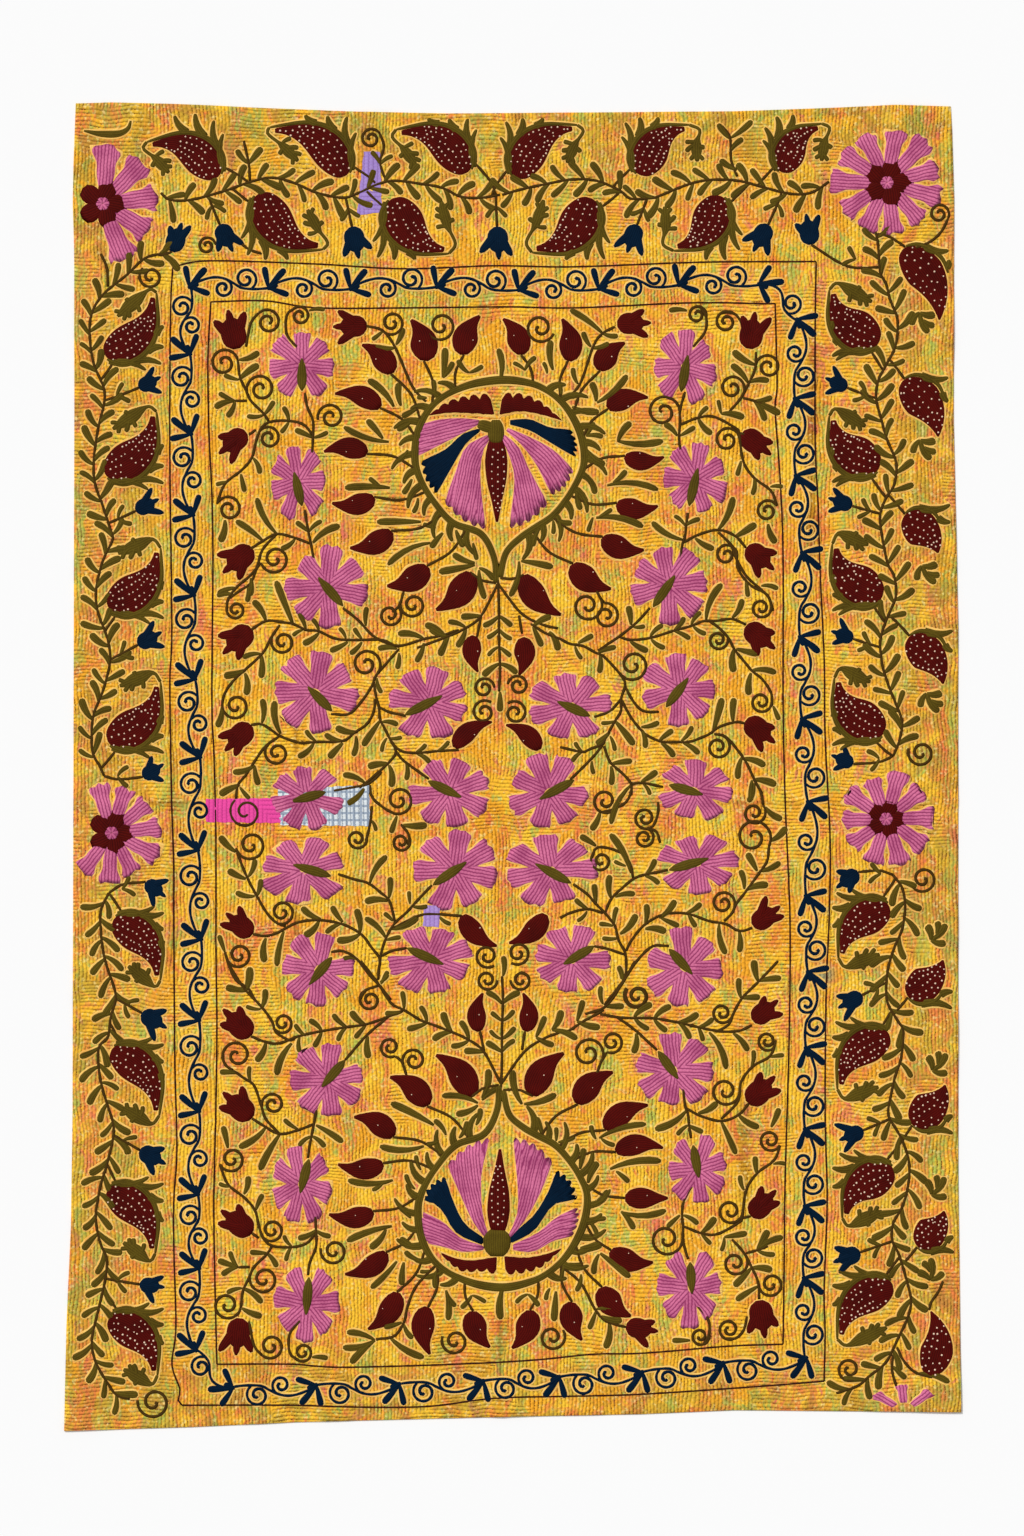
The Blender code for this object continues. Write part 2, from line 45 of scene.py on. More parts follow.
# Chart places to metres: x and y less the middle, times the step, with y turned up.
def toMetres(points):
    points = np.asarray(points, float)
    centre = np.array([chart["centreX"], chart["centreY"]])
    return (points - centre) * np.array([chart["step"], -chart["step"]])


# A flat row of numbers as chart places, two numbers a place.
def asPlaces(row):
    return np.asarray(row, float).reshape(-1, 2)


# Vectors turned a quarter: x becomes minus y, and y becomes x.
def turnedLeft(vectors):
    return np.stack([-vectors[..., 1], vectors[..., 0]], -1)


# Vectors one long at angles: cosine and sine.
def headed(angle):
    return np.stack([np.cos(angle), np.sin(angle)], -1)


# Faces of a grid of vertex numbers, four corners each; turned, they face the other way.
def facesOf(index, turned=False):
    a, b, c, d = index[:-1, :-1], index[:-1, 1:], index[1:, 1:], index[1:, :-1]
    return np.stack([a, d, c, b] if turned else [a, b, c, d], -1).reshape(-1, 4)


# Paisleys: the round end's middle and radius, the tip, the middle of the leaf on the hooked end,
# and the side of the arched back.
paisleyRows = [
    (206, 162, 17, 151, 145, 159, 160, -1), (336, 159, 17, 273, 131, 285, 147, -1),
    (457, 156, 17, 400, 133, 407, 151, -1), (524, 160, 17, 574, 129, 572, 147, 1),
    (647, 157, 17, 686, 129, 694, 146, 1), (787, 156, 15, 819, 128, 822, 145, 1),
    (268, 214, 19, 320, 246, 315, 227, -1), (401, 219, 19, 446, 250, 445, 224, -1),
    (583, 219, 19, 535, 249, 538, 223, 1), (714, 216, 18, 676, 247, 668, 226, 1),
    (123, 347, 17, 153, 296, 134, 304, -1), (124, 465, 18, 153, 415, 131, 419, -1),
    (127, 598, 18, 157, 551, 136, 548, -1), (127, 733, 18, 157, 685, 137, 681, -1),
    (131, 929, 17, 157, 977, 142, 975, 1), (129, 1059, 17, 156, 1112, 137, 1114, 1),
    (125, 1199, 17, 152, 1250, 137, 1250, 1), (127, 1326, 17, 154, 1372, 138, 1375, 1),
    (859, 333, 19, 833, 293, 854, 294, 1), (859, 459, 19, 833, 419, 850, 419, 1),
    (862, 588, 19, 836, 547, 853, 541, 1), (864, 723, 19, 838, 681, 855, 677, 1),
    (871, 914, 17, 842, 955, 862, 959, -1), (871, 1042, 17, 841, 1086, 861, 1091, -1),
    (874, 1177, 18, 846, 1215, 865, 1217, -1), (874, 1291, 17, 841, 1336, 866, 1335, -1),
    (914, 267, 19, 939, 322, 923, 320, 1), (915, 398, 19, 938, 438, 924, 447, 1),
    (918, 530, 18, 938, 554, 927, 572, 1), (921, 653, 18, 943, 685, 931, 700, 1),
    (921, 983, 17, 943, 959, 936, 934, -1), (925, 1109, 18, 945, 1084, 937, 1064, -1),
    (928, 1232, 16, 944, 1210, 936, 1188, -1), (931, 1358, 16, 930, 1310, 930, 1272, -1),
]

# Flowers: middle, half width and height, then the spindle from its stalk end to its tip.
flowerRows = [
    (302, 365, 32, 35, 302, 391, 302, 358), (298, 482, 28, 38, 302, 506, 294, 471),
    (327, 588, 40, 40, 343, 606, 317, 576), (316, 692, 40, 41, 332, 711, 307, 686),
    (429, 703, 41, 35, 405, 715, 444, 695), (572, 706, 41, 34, 590, 716, 556, 701),
    (680, 690, 37, 36, 666, 707, 689, 677), (669, 585, 37, 38, 653, 607, 676, 574),
    (684, 367, 31, 38, 681, 392, 688, 354), (695, 480, 31, 37, 689, 506, 698, 467),
    (307, 797, 36, 32, 326, 792, 290, 802), (449, 792, 40, 35, 428, 781, 463, 798),
    (549, 792, 39, 37, 574, 780, 538, 800), (695, 790, 39, 30, 669, 785, 704, 795),
    (304, 870, 43, 32, 331, 876, 292, 864), (455, 870, 42, 40, 433, 885, 468, 861),
    (551, 870, 44, 35, 571, 883, 534, 863), (697, 864, 41, 29, 669, 870, 710, 858),
    (318, 969, 36, 36, 332, 957, 309, 985), (431, 960, 42, 34, 407, 948, 445, 965),
    (572, 960, 39, 34, 594, 946, 562, 965), (684, 968, 39, 39, 669, 949, 693, 975),
    (328, 1080, 38, 37, 345, 1060, 321, 1088), (674, 1070, 39, 36, 658, 1051, 679, 1080),
    (301, 1184, 29, 39, 309, 1159, 300, 1194), (697, 1169, 30, 36, 693, 1145, 699, 1179),
    (307, 1303, 32, 38, 309, 1277, 306, 1316), (690, 1288, 31, 38, 690, 1262, 692, 1294),
]

# Buds: stalk end, tip, half width.
budRows = [
    (424, 361, 411, 320, 13), (391, 374, 362, 345, 11), (380, 408, 335, 394, 10),
    (367, 454, 324, 452, 10), (374, 497, 332, 503, 10), (391, 531, 350, 548, 11),
    (427, 566, 387, 586, 12), (470, 572, 436, 610, 13), (524, 575, 561, 615, 12),
    (573, 564, 611, 589, 12), (603, 537, 644, 550, 11), (617, 503, 658, 506, 10),
    (625, 456, 664, 457, 9), (608, 409, 648, 398, 10), (600, 371, 625, 343, 11),
    (568, 361, 562, 319, 11), (521, 355, 503, 319, 11), (464, 355, 480, 316, 12),
    (475, 636, 478, 672, 9), (521, 638, 519, 675, 10), (455, 748, 492, 722, 9),
    (539, 750, 506, 725, 9), (463, 915, 497, 946, 10), (545, 914, 509, 943, 10),
    (480, 1031, 483, 993, 9), (525, 1031, 523, 993, 9), (471, 1097, 436, 1055, 13),
    (533, 1096, 564, 1053, 13), (427, 1106, 390, 1077, 12), (578, 1104, 613, 1072, 12),
    (393, 1137, 354, 1117, 11), (606, 1130, 648, 1105, 11), (383, 1163, 338, 1164, 10),
    (616, 1152, 663, 1148, 10), (373, 1211, 329, 1214, 10), (625, 1198, 668, 1198, 10),
    (386, 1252, 345, 1274, 10), (611, 1250, 653, 1262, 11), (397, 1292, 368, 1329, 11),
    (602, 1287, 631, 1316, 12), (428, 1307, 430, 1354, 11), (572, 1302, 582, 1340, 11),
    (473, 1311, 490, 1347, 11.5), (530, 1310, 512, 1348, 11.5),
]

# Tulips: the base and the tips of the three lobes, maroon in the field and navy in the border.
fieldTulips = [
    (237, 349, 214, 321, 228, 310, 245, 312), (367, 326, 338, 311, 333, 327, 338, 344),
    (246, 432, 218, 437, 219, 454, 231, 464), (252, 548, 217, 555, 223, 573, 239, 580),
    (251, 628, 218, 636, 223, 654, 238, 660), (251, 725, 218, 737, 225, 751, 235, 756),
    (252, 935, 220, 924, 226, 913, 239, 906), (251, 1036, 220, 1024, 223, 1009, 239, 1006),
    (252, 1118, 219, 1107, 223, 1092, 242, 1086), (252, 1233, 218, 1223, 221, 1210, 238, 1204),
    (240, 1318, 219, 1351, 236, 1355, 252, 1352), (749, 349, 742, 316, 755, 312, 771, 318),
    (617, 324, 644, 310, 651, 323, 648, 337), (742, 433, 773, 443, 771, 455, 759, 460),
    (747, 547, 777, 553, 774, 570, 759, 578), (746, 626, 775, 633, 775, 649, 758, 656),
    (746, 720, 775, 728, 775, 743, 762, 752), (753, 926, 784, 916, 780, 906, 766, 896),
    (753, 1021, 783, 1014, 778, 1000, 765, 996), (748, 1103, 781, 1090, 775, 1076, 761, 1072),
    (751, 1216, 780, 1202, 776, 1190, 762, 1186), (759, 1300, 748, 1333, 765, 1338, 778, 1326),
    (626, 1326, 655, 1321, 658, 1331, 648, 1347),
]
borderTulips = [
    (172, 252, 170, 226, 182, 223, 191, 226), (220, 225, 218, 252, 233, 252, 244, 245),
    (352, 227, 344, 257, 359, 259, 372, 249), (497, 227, 480, 253, 499, 260, 512, 256),
    (637, 225, 614, 247, 627, 253, 642, 256), (768, 225, 742, 241, 753, 252, 768, 256),
    (811, 245, 795, 224, 806, 214, 819, 215), (139, 388, 154, 367, 161, 377, 162, 393),
    (136, 511, 152, 488, 159, 499, 164, 513), (138, 645, 154, 621, 162, 632, 165, 647),
    (143, 777, 152, 756, 164, 764, 164, 781), (146, 882, 169, 880, 166, 897, 154, 907),
    (142, 1013, 167, 1010, 167, 1028, 155, 1041), (140, 1150, 165, 1148, 166, 1164, 154, 1175),
    (140, 1284, 164, 1276, 165, 1287, 154, 1303), (847, 388, 833, 366, 825, 378, 825, 394),
    (852, 506, 833, 488, 828, 498, 828, 512), (853, 639, 840, 618, 831, 631, 832, 644),
    (853, 764, 844, 746, 831, 755, 833, 770), (858, 872, 836, 871, 836, 888, 849, 893),
    (862, 995, 836, 996, 838, 1008, 844, 1021), (863, 1130, 834, 1124, 839, 1140, 844, 1152),
    (860, 1252, 834, 1247, 833, 1262, 839, 1273),
]

# Rosettes: middle, petals' reach, disc radius, first petal's angle, step, count.
rosetteRows = [
    (103, 204, 57, 21, 84, -38.5, 5), (887, 183, 54, 22, 81, -32.7, 11),
    (112, 833, 49, 20, 106, -33.3, 8), (886, 819, 46, 18, 2, 36, 10),
]

# Fans of the two medallion flowers: colour, then one long edge and the other, both from the root.
fanRows = [
    ("pink", (480, 420, 462, 418, 440, 419, 419, 424), (480, 424, 462, 434, 445, 443, 416, 458)),
    ("navy", (480, 428, 462, 434, 445, 449, 421, 460), (480, 432, 466, 444, 453, 466, 437, 495)),
    ("pink", (489, 434, 466, 446, 455, 471, 443, 502), (491, 439, 483, 452, 481, 482, 487, 530)),
    ("pink", (500, 437, 509, 456, 514, 482, 508, 529), (504, 434, 519, 447, 530, 470, 549, 503)),
    ("pink", (506, 431, 522, 446, 537, 467, 551, 496), (508, 428, 530, 437, 554, 450, 574, 469)),
    ("navy", (510, 420, 530, 419, 550, 427, 571, 429), (510, 425, 530, 431, 550, 443, 575, 458)),
    ("maroon", (495, 417, 470, 415, 450, 414, 429, 416), (489, 391, 466, 394, 446, 401, 430, 414)),
    ("maroon", (499, 417, 520, 413, 542, 416, 562, 421), (503, 391, 519, 391, 540, 399, 561, 419)),
    ("pink", (486, 1239, 473, 1222, 459, 1193, 446, 1165), (490, 1237, 483, 1214, 482, 1175, 491, 1137)),
    ("navy", (485, 1238, 465, 1223, 453, 1199, 446, 1176),
     (482, 1245, 456, 1233, 443, 1213, 433, 1203, 422, 1200)),
    ("pink", (485, 1246, 460, 1237, 444, 1222, 422, 1210), (483, 1250, 463, 1252, 442, 1247, 426, 1244)),
    ("pink", (507, 1237, 517, 1214, 517, 1183, 512, 1137), (510, 1239, 526, 1219, 541, 1193, 554, 1162)),
    ("navy", (508, 1238, 521, 1226, 535, 1213, 549, 1189, 556, 1169),
     (510, 1244, 534, 1231, 549, 1210, 558, 1203, 578, 1200)),
    ("pink", (513, 1244, 538, 1232, 556, 1217, 577, 1206), (513, 1250, 533, 1252, 554, 1241, 572, 1237)),
    ("maroon", (497, 1255, 473, 1259, 455, 1257, 441, 1252), (496, 1277, 484, 1273, 460, 1272, 442, 1256)),
    ("maroon", (504, 1254, 525, 1256, 546, 1253, 561, 1248), (506, 1277, 522, 1275, 541, 1269, 561, 1250)),
]

# The medallions' ring through these places, for the lower one; the upper one is its mirror image.
ringRow = (
    499, 1085, 497, 1110, 484, 1134, 456, 1145, 437, 1166, 424, 1187, 418, 1208, 421, 1236,
    431, 1257, 446, 1271, 467, 1281, 487, 1286, 507, 1287, 526, 1283, 543, 1276, 561, 1262,
    575, 1243, 585, 1219, 587, 1194, 578, 1173, 566, 1156, 554, 1144, 537, 1135, 523, 1127,
    509, 1114, 503, 1090,
)

# Frame lines between the border, the scrolls and the field.
outerLine = (
    173, 267, 209, 261, 311, 264, 403, 269, 492, 266, 572, 267, 680, 263, 733, 262, 816, 262,
    815, 318, 815, 440, 818, 506, 820, 572, 824, 660, 825, 738, 830, 841, 829, 919, 826, 992,
    825, 1119, 827, 1199, 824, 1288, 825, 1332, 824, 1381, 748, 1387, 640, 1394, 571, 1396,
    495, 1398, 430, 1406, 365, 1407, 290, 1405, 182, 1405, 178, 1399, 180, 1389, 172, 1364,
    176, 1328, 174, 1249, 174, 1199, 177, 1150, 175, 1059, 174, 918, 174, 869, 172, 802,
    170, 686, 172, 629, 170, 463, 170, 380, 171, 300, 173, 267,
)
innerLine = (
    211, 302, 265, 301, 317, 308, 412, 308, 505, 307, 578, 308, 690, 303, 775, 304, 777, 384,
    775, 410, 780, 479, 783, 560, 783, 706, 785, 800, 787, 846, 790, 929, 789, 1040, 785, 1180,
    784, 1267, 783, 1344, 727, 1346, 640, 1353, 593, 1354, 532, 1360, 452, 1364, 343, 1367,
    290, 1364, 217, 1364, 215, 1282, 214, 1199, 216, 1110, 217, 1026, 216, 943, 216, 836,
    214, 753, 212, 703, 213, 562, 212, 496, 209, 430, 208, 359, 211, 302,
)

# Sprigs of the scroll band, clockwise from the lower left.
sprigRow = (
    196, 1349, 199, 1267, 198, 1193, 199, 1110, 199, 1019, 201, 938, 198, 849, 200, 756,
    195, 678, 194, 594, 193, 514, 191, 433, 190, 353, 191, 287, 270, 288, 352, 289, 438, 287,
    520, 290, 600, 289, 680, 285, 760, 285, 797, 321, 795, 400, 796, 477, 802, 554, 800, 638,
    802, 720, 808, 803, 806, 897, 808, 973, 806, 1049, 805, 1130, 805, 1207, 804, 1279,
    805, 1358, 722, 1363, 641, 1372, 558, 1377, 482, 1381, 398, 1384, 315, 1385, 232, 1387,
)

# Vines of the border, each with the side its leaves lean to along it (1 onwards, -1 back).
borderVines = [
    (1, (161, 193, 170, 200, 192, 200, 226, 191, 248, 183, 270, 178, 291, 182, 317, 193, 343, 198,
         359, 193, 379, 184, 396, 181, 420, 184, 442, 188, 461, 197, 481, 198, 500, 195)),
    (-1, (502, 195, 524, 189, 548, 184, 570, 180, 596, 181, 620, 191, 631, 199, 654, 198,
          662, 195, 690, 184, 712, 180, 738, 181, 761, 187, 790, 194, 811, 193, 829, 182)),
    (-1, (170, 253, 146, 258, 127, 275, 103, 295, 92, 314, 90, 336, 94, 364, 105, 394, 98, 430,
          94, 460, 95, 483, 103, 506, 110, 528, 113, 539, 105, 556, 100, 571, 96, 592, 98, 612,
          108, 640, 110, 663, 103, 691, 95, 711, 92, 728, 93, 753, 100, 766, 104, 776)),
    (1, (109, 893, 101, 910, 101, 930, 103, 949, 107, 966, 113, 983, 116, 998, 111, 1017,
         108, 1037, 99, 1047, 99, 1069, 103, 1090, 108, 1106, 114, 1130, 108, 1161, 101, 1185,
         96, 1216, 100, 1241, 107, 1259, 105, 1282, 97, 1316, 92, 1341, 96, 1362, 108, 1383,
         117, 1395, 130, 1399)),
    (-1, (875, 230, 878, 245, 880, 272, 886, 284, 890, 300, 897, 318, 897, 336, 894, 350,
          886, 365, 878, 381, 876, 399, 881, 419, 887, 440, 896, 463, 894, 485, 887, 496,
          881, 510, 880, 522, 883, 543, 888, 565, 894, 576, 896, 595, 891, 609, 884, 626,
          880, 642, 881, 657, 883, 669, 890, 690, 897, 707, 902, 723, 899, 741, 893, 756)),
    (1, (893, 875, 902, 888, 905, 907, 902, 929, 894, 948, 888, 968, 886, 989, 888, 1004,
         897, 1020, 903, 1030, 902, 1049, 900, 1062, 895, 1076, 891, 1094, 888, 1114, 896, 1129,
         903, 1142, 909, 1163, 908, 1185, 902, 1207, 893, 1223, 892, 1240, 899, 1255, 907, 1282,
         911, 1301, 907, 1319, 898, 1338, 891, 1353, 884, 1364, 869, 1376, 857, 1386, 836, 1393)),
]
borderCurls = [(151, 277, 8), (154, 1402, 11), (849, 1369, 8), (921, 753, 9), (923, 879, 9)]

# Stems of the lower part of the field; the upper part is their mirror image.
lowStems = [
    (228, 963, 244, 988, 261, 1006, 272, 1021, 276, 1032, 289, 1040, 295, 1039),
    (251, 1036, 266, 1042, 280, 1043, 299, 1036, 322, 1031, 347, 1027, 367, 1024, 387, 1017, 404, 1010),
    (361, 961, 378, 983, 391, 1003, 404, 1010, 420, 1020),
    (420, 1020, 452, 1032, 469, 1040, 484, 1052, 501, 1084),
    (387, 1018, 367, 1035, 345, 1060),
    (317, 1107, 314, 1124, 310, 1144, 308, 1158),
    (314, 1124, 298, 1130, 280, 1134, 266, 1127, 252, 1118),
    (280, 1134, 266, 1119, 261, 1104, 254, 1085, 244, 1078, 233, 1070),
    (220, 1164, 228, 1184, 244, 1197, 255, 1210, 259, 1226, 264, 1239, 273, 1246, 292, 1247, 307, 1243,
     316, 1232),
    (252, 1233, 259, 1238),
    (304, 1200, 314, 1212, 316, 1229, 316, 1247, 310, 1262, 308, 1275),
    (272, 1246, 267, 1254, 254, 1267, 249, 1278, 243, 1291, 241, 1308),
    (250, 1267, 238, 1267),
    (249, 1321, 254, 1345, 262, 1355),
    (303, 1318, 290, 1333, 290, 1353, 299, 1360),
    (635, 961, 623, 981, 604, 1005),
    (501, 1084, 524, 1052, 545, 1038, 561, 1032), (561, 1032, 570, 1030, 582, 1022, 604, 1010),
    (600, 1014, 617, 1017, 631, 1018, 652, 1018, 676, 1022, 698, 1027, 718, 1031, 738, 1031, 752, 1025),
    (617, 1017, 635, 1030, 657, 1050),
    (778, 961, 759, 981, 742, 998, 733, 1014, 729, 1024, 718, 1031),
    (776, 1040, 770, 1056, 753, 1066, 741, 1082, 738, 1101, 721, 1119),
    (683, 1085, 685, 1105, 688, 1115, 689, 1125, 691, 1138),
    (686, 1108, 701, 1116, 721, 1121, 738, 1115, 749, 1103),
    (780, 1145, 774, 1160, 757, 1173, 746, 1190, 742, 1218, 738, 1223, 717, 1234, 701, 1233, 683, 1226),
    (742, 1218, 751, 1216),
    (693, 1184, 684, 1200, 682, 1214, 683, 1228, 683, 1241, 688, 1259),
    (732, 1239, 744, 1253, 752, 1268, 758, 1282, 759, 1299),
    (746, 1253, 757, 1250, 768, 1246),
    (747, 1316, 744, 1329, 736, 1338, 726, 1338),
    (696, 1304, 708, 1319, 709, 1334, 703, 1344),
    (502, 976, 503, 1000, 502, 1030, 502, 1060, 501, 1088),
    (484, 1051, 480, 1031), (522, 1050, 525, 1031), (407, 1077, 402, 1062, 395, 1056),
    (596, 1076, 601, 1062, 607, 1052),
]
# Stems and leaves beside the small tulips at the medallions' closed ends, above and below.
endStems = [
    (366, 326, 383, 331, 396, 349, 412, 386, 426, 402), (615, 327, 602, 334, 593, 347, 580, 384, 565, 400),
    (438, 1263, 417, 1285, 408, 1305, 404, 1322, 394, 1336, 376, 1339),
    (558, 1264, 580, 1282, 595, 1309, 606, 1321, 626, 1327),
]
endLeaves = [
    (383, 331, 372, 340), (396, 345, 403, 328), (395, 348, 374, 347), (603, 334, 570, 310),
    (602, 333, 618, 336),
    (591, 347, 583, 332), (591, 348, 609, 343), (402, 1322, 384, 1327), (404, 1324, 413, 1338),
    (390, 1337, 424, 1357), (375, 1340, 347, 1332), (375, 1340, 343, 1347), (375, 1340, 351, 1363),
    (596, 1309, 612, 1309), (596, 1311, 589, 1329), (601, 1316, 622, 1320), (609, 1322, 605, 1348),
]
endCurls = [(392, 323, 9), (441, 326, 10), (540, 328, 10), (455, 1341, 9), (552, 1337, 9)]
# Stems of their own with a curl at the end, in the border.
curlStems = [(913, 249, 930, 242, 941, 232, 948, 219), (262, 254, 250, 250, 240, 243),
             (386, 181, 380, 163, 384, 147, 380, 134)]
stemCurls = [(939, 214, 8), (207, 246, 6), (371, 139, 6)]
# Twigs, then leaves from base to tip, in the border beside the vines.
borderTwigs = [(893, 1354, 892, 1370, 896, 1386), (897, 1347, 903, 1360, 915, 1372, 932, 1377),
               (101, 254, 107, 268, 108, 287), (250, 181, 249, 165, 244, 141),
               (737, 177, 731, 160, 730, 138, 722, 126), (943, 1281, 938, 1292, 931, 1302, 929, 1310)]
borderLeaves = [
    (249, 164, 237, 150), (249, 164, 262, 148), (730, 139, 718, 124), (731, 138, 752, 121),
    (730, 152, 743, 139),
    (380, 165, 371, 152), (380, 165, 393, 156), (918, 1373, 949, 1382), (893, 1366, 906, 1378),
    (737, 170, 720, 160),
]
# Leaves of the lower part of the field, from base to tip, and curls: middle and radius.
lowLeaves = [
    (246, 991, 250, 968), (246, 991, 226, 987), (261, 1009, 265, 989), (261, 1009, 246, 1006),
    (266, 1042, 256, 1061), (292, 1043, 277, 1075), (306, 1036, 295, 1024), (300, 1036, 300, 1052),
    (322, 1031, 309, 1020), (322, 1031, 314, 1047), (347, 1027, 333, 1014), (347, 1027, 338, 1041),
    (366, 1025, 351, 1011), (366, 1025, 355, 1038), (404, 1009, 402, 991), (403, 1011, 385, 1013),
    (381, 984, 388, 971), (427, 1023, 420, 1006), (427, 1023, 407, 1029), (452, 1032, 443, 1012),
    (452, 1032, 433, 1040), (469, 1040, 460, 1021), (469, 1040, 451, 1046), (484, 1052, 464, 1051),
    (368, 1036, 369, 1058), (298, 1129, 284, 1119), (266, 1127, 239, 1147), (280, 1134, 260, 1170),
    (316, 1125, 343, 1142), (312, 1136, 299, 1146), (312, 1136, 325, 1147), (237, 1073, 220, 1072),
    (251, 1082, 250, 1066), (231, 1186, 219, 1183), (244, 1194, 248, 1176), (256, 1210, 263, 1194),
    (228, 1148, 223, 1126), (316, 1230, 298, 1238), (316, 1230, 331, 1236), (292, 1246, 284, 1235),
    (292, 1246, 286, 1261), (267, 1253, 250, 1252), (267, 1253, 277, 1267), (238, 1267, 230, 1251),
    (238, 1267, 218, 1260), (238, 1267, 222, 1275), (242, 1288, 227, 1293), (242, 1288, 262, 1303),
    (242, 1308, 262, 1316), (312, 1357, 328, 1358), (393, 1180, 348, 1180), (384, 1181, 372, 1190),
    (392, 1226, 347, 1241), (386, 1229, 370, 1248), (397, 1261, 371, 1288), (404, 1262, 402, 1285),
    (482, 1098, 488, 1069), (482, 1100, 497, 1088), (478, 1103, 442, 1096), (478, 1105, 456, 1114),
    (434, 1125, 391, 1103), (424, 1146, 380, 1146), (415, 1189, 406, 1174), (411, 1218, 399, 1206),
    (415, 1248, 400, 1238), (421, 1260, 405, 1251), (459, 1138, 467, 1121), (476, 1125, 480, 1108),
    (439, 1140, 426, 1144), (446, 1135, 434, 1120), (421, 1170, 416, 1155),
    (623, 981, 618, 966), (604, 1006, 624, 1006), (536, 1037, 545, 1016), (536, 1037, 554, 1045),
    (552, 1030, 561, 1010), (552, 1030, 577, 1039), (577, 1021, 583, 1000), (577, 1021, 600, 1027),
    (634, 1017, 652, 1004), (634, 1017, 649, 1029), (654, 1019, 671, 1006), (654, 1019, 667, 1031),
    (678, 1022, 698, 1013), (678, 1022, 690, 1039), (698, 1027, 713, 1018), (698, 1027, 703, 1041),
    (709, 1032, 726, 1069), (733, 1033, 748, 1051), (636, 1033, 633, 1053), (758, 981, 754, 960),
    (758, 981, 781, 978), (741, 998, 739, 978), (741, 998, 760, 997), (770, 1057, 784, 1055),
    (751, 1067, 753, 1050), (698, 1113, 717, 1102), (686, 1111, 655, 1129), (738, 1114, 759, 1127),
    (721, 1121, 736, 1154), (688, 1125, 677, 1135), (688, 1125, 703, 1132), (771, 1127, 779, 1108),
    (773, 1164, 786, 1164), (757, 1174, 755, 1156), (744, 1190, 740, 1175), (680, 1215, 667, 1227),
    (683, 1215, 698, 1224), (701, 1233, 715, 1217), (701, 1233, 711, 1244), (724, 1237, 747, 1233),
    (724, 1237, 721, 1251), (757, 1250, 768, 1230), (757, 1250, 783, 1237), (757, 1250, 775, 1254),
    (751, 1268, 772, 1270), (751, 1268, 734, 1286), (758, 1286, 736, 1300), (690, 1340, 672, 1340),
    (610, 1169, 661, 1161), (616, 1171, 629, 1182), (599, 1138, 646, 1124), (601, 1138, 615, 1145),
    (596, 1139, 591, 1125), (621, 1212, 666, 1210), (621, 1211, 634, 1229), (580, 1248, 601, 1243),
    (600, 1253, 630, 1277), (599, 1254, 594, 1274), (581, 1274, 576, 1291),
    (543, 1135, 536, 1117), (556, 1141, 556, 1127), (558, 1142, 575, 1136), (580, 1169, 584, 1148),
    (588, 1183, 598, 1162), (589, 1208, 608, 1190), (589, 1221, 606, 1218), (589, 1221, 597, 1234),
    (575, 1252, 602, 1244), (567, 1263, 582, 1264), (564, 1264, 561, 1279), (522, 1104, 513, 1070),
    (524, 1104, 556, 1094), (430, 1270, 420, 1271), (437, 1270, 436, 1288), (503, 1287, 501, 1319),
    (472, 1295, 461, 1308), (472, 1295, 486, 1302), (528, 1294, 516, 1303), (528, 1294, 539, 1306),
    (446, 1290, 448, 1320), (446, 1290, 456, 1306), (550, 1288, 546, 1300), (556, 1291, 554, 1321),
    (502, 1004, 486, 992), (502, 1004, 520, 992), (502, 1021, 491, 1012), (502, 1021, 514, 1010),
    (502, 1039, 490, 1030), (502, 1039, 515, 1027), (502, 1052, 486, 1042), (502, 1052, 515, 1040),
    (503, 976, 503, 956),
]
lowCurls = [
    (283, 1023, 9), (370, 1000, 10), (237, 1055, 9), (273, 1104, 10), (232, 1159, 9), (272, 1230, 10),
    (334, 1251, 9), (264, 1279, 9), (227, 1305, 8), (271, 1346, 10), (303, 1352, 9), (637, 996, 8),
    (722, 1013, 9), (767, 1041, 9), (725, 1091, 9), (770, 1140, 10), (730, 1211, 10), (666, 1239, 10),
    (735, 1263, 9), (771, 1284, 9), (729, 1329, 9), (700, 1336, 9), (487, 956, 8), (518, 953, 8),
    (487, 980, 7), (521, 980, 7), (390, 1047, 9), (414, 1060, 9), (612, 1042, 9), (588, 1053, 9),
]

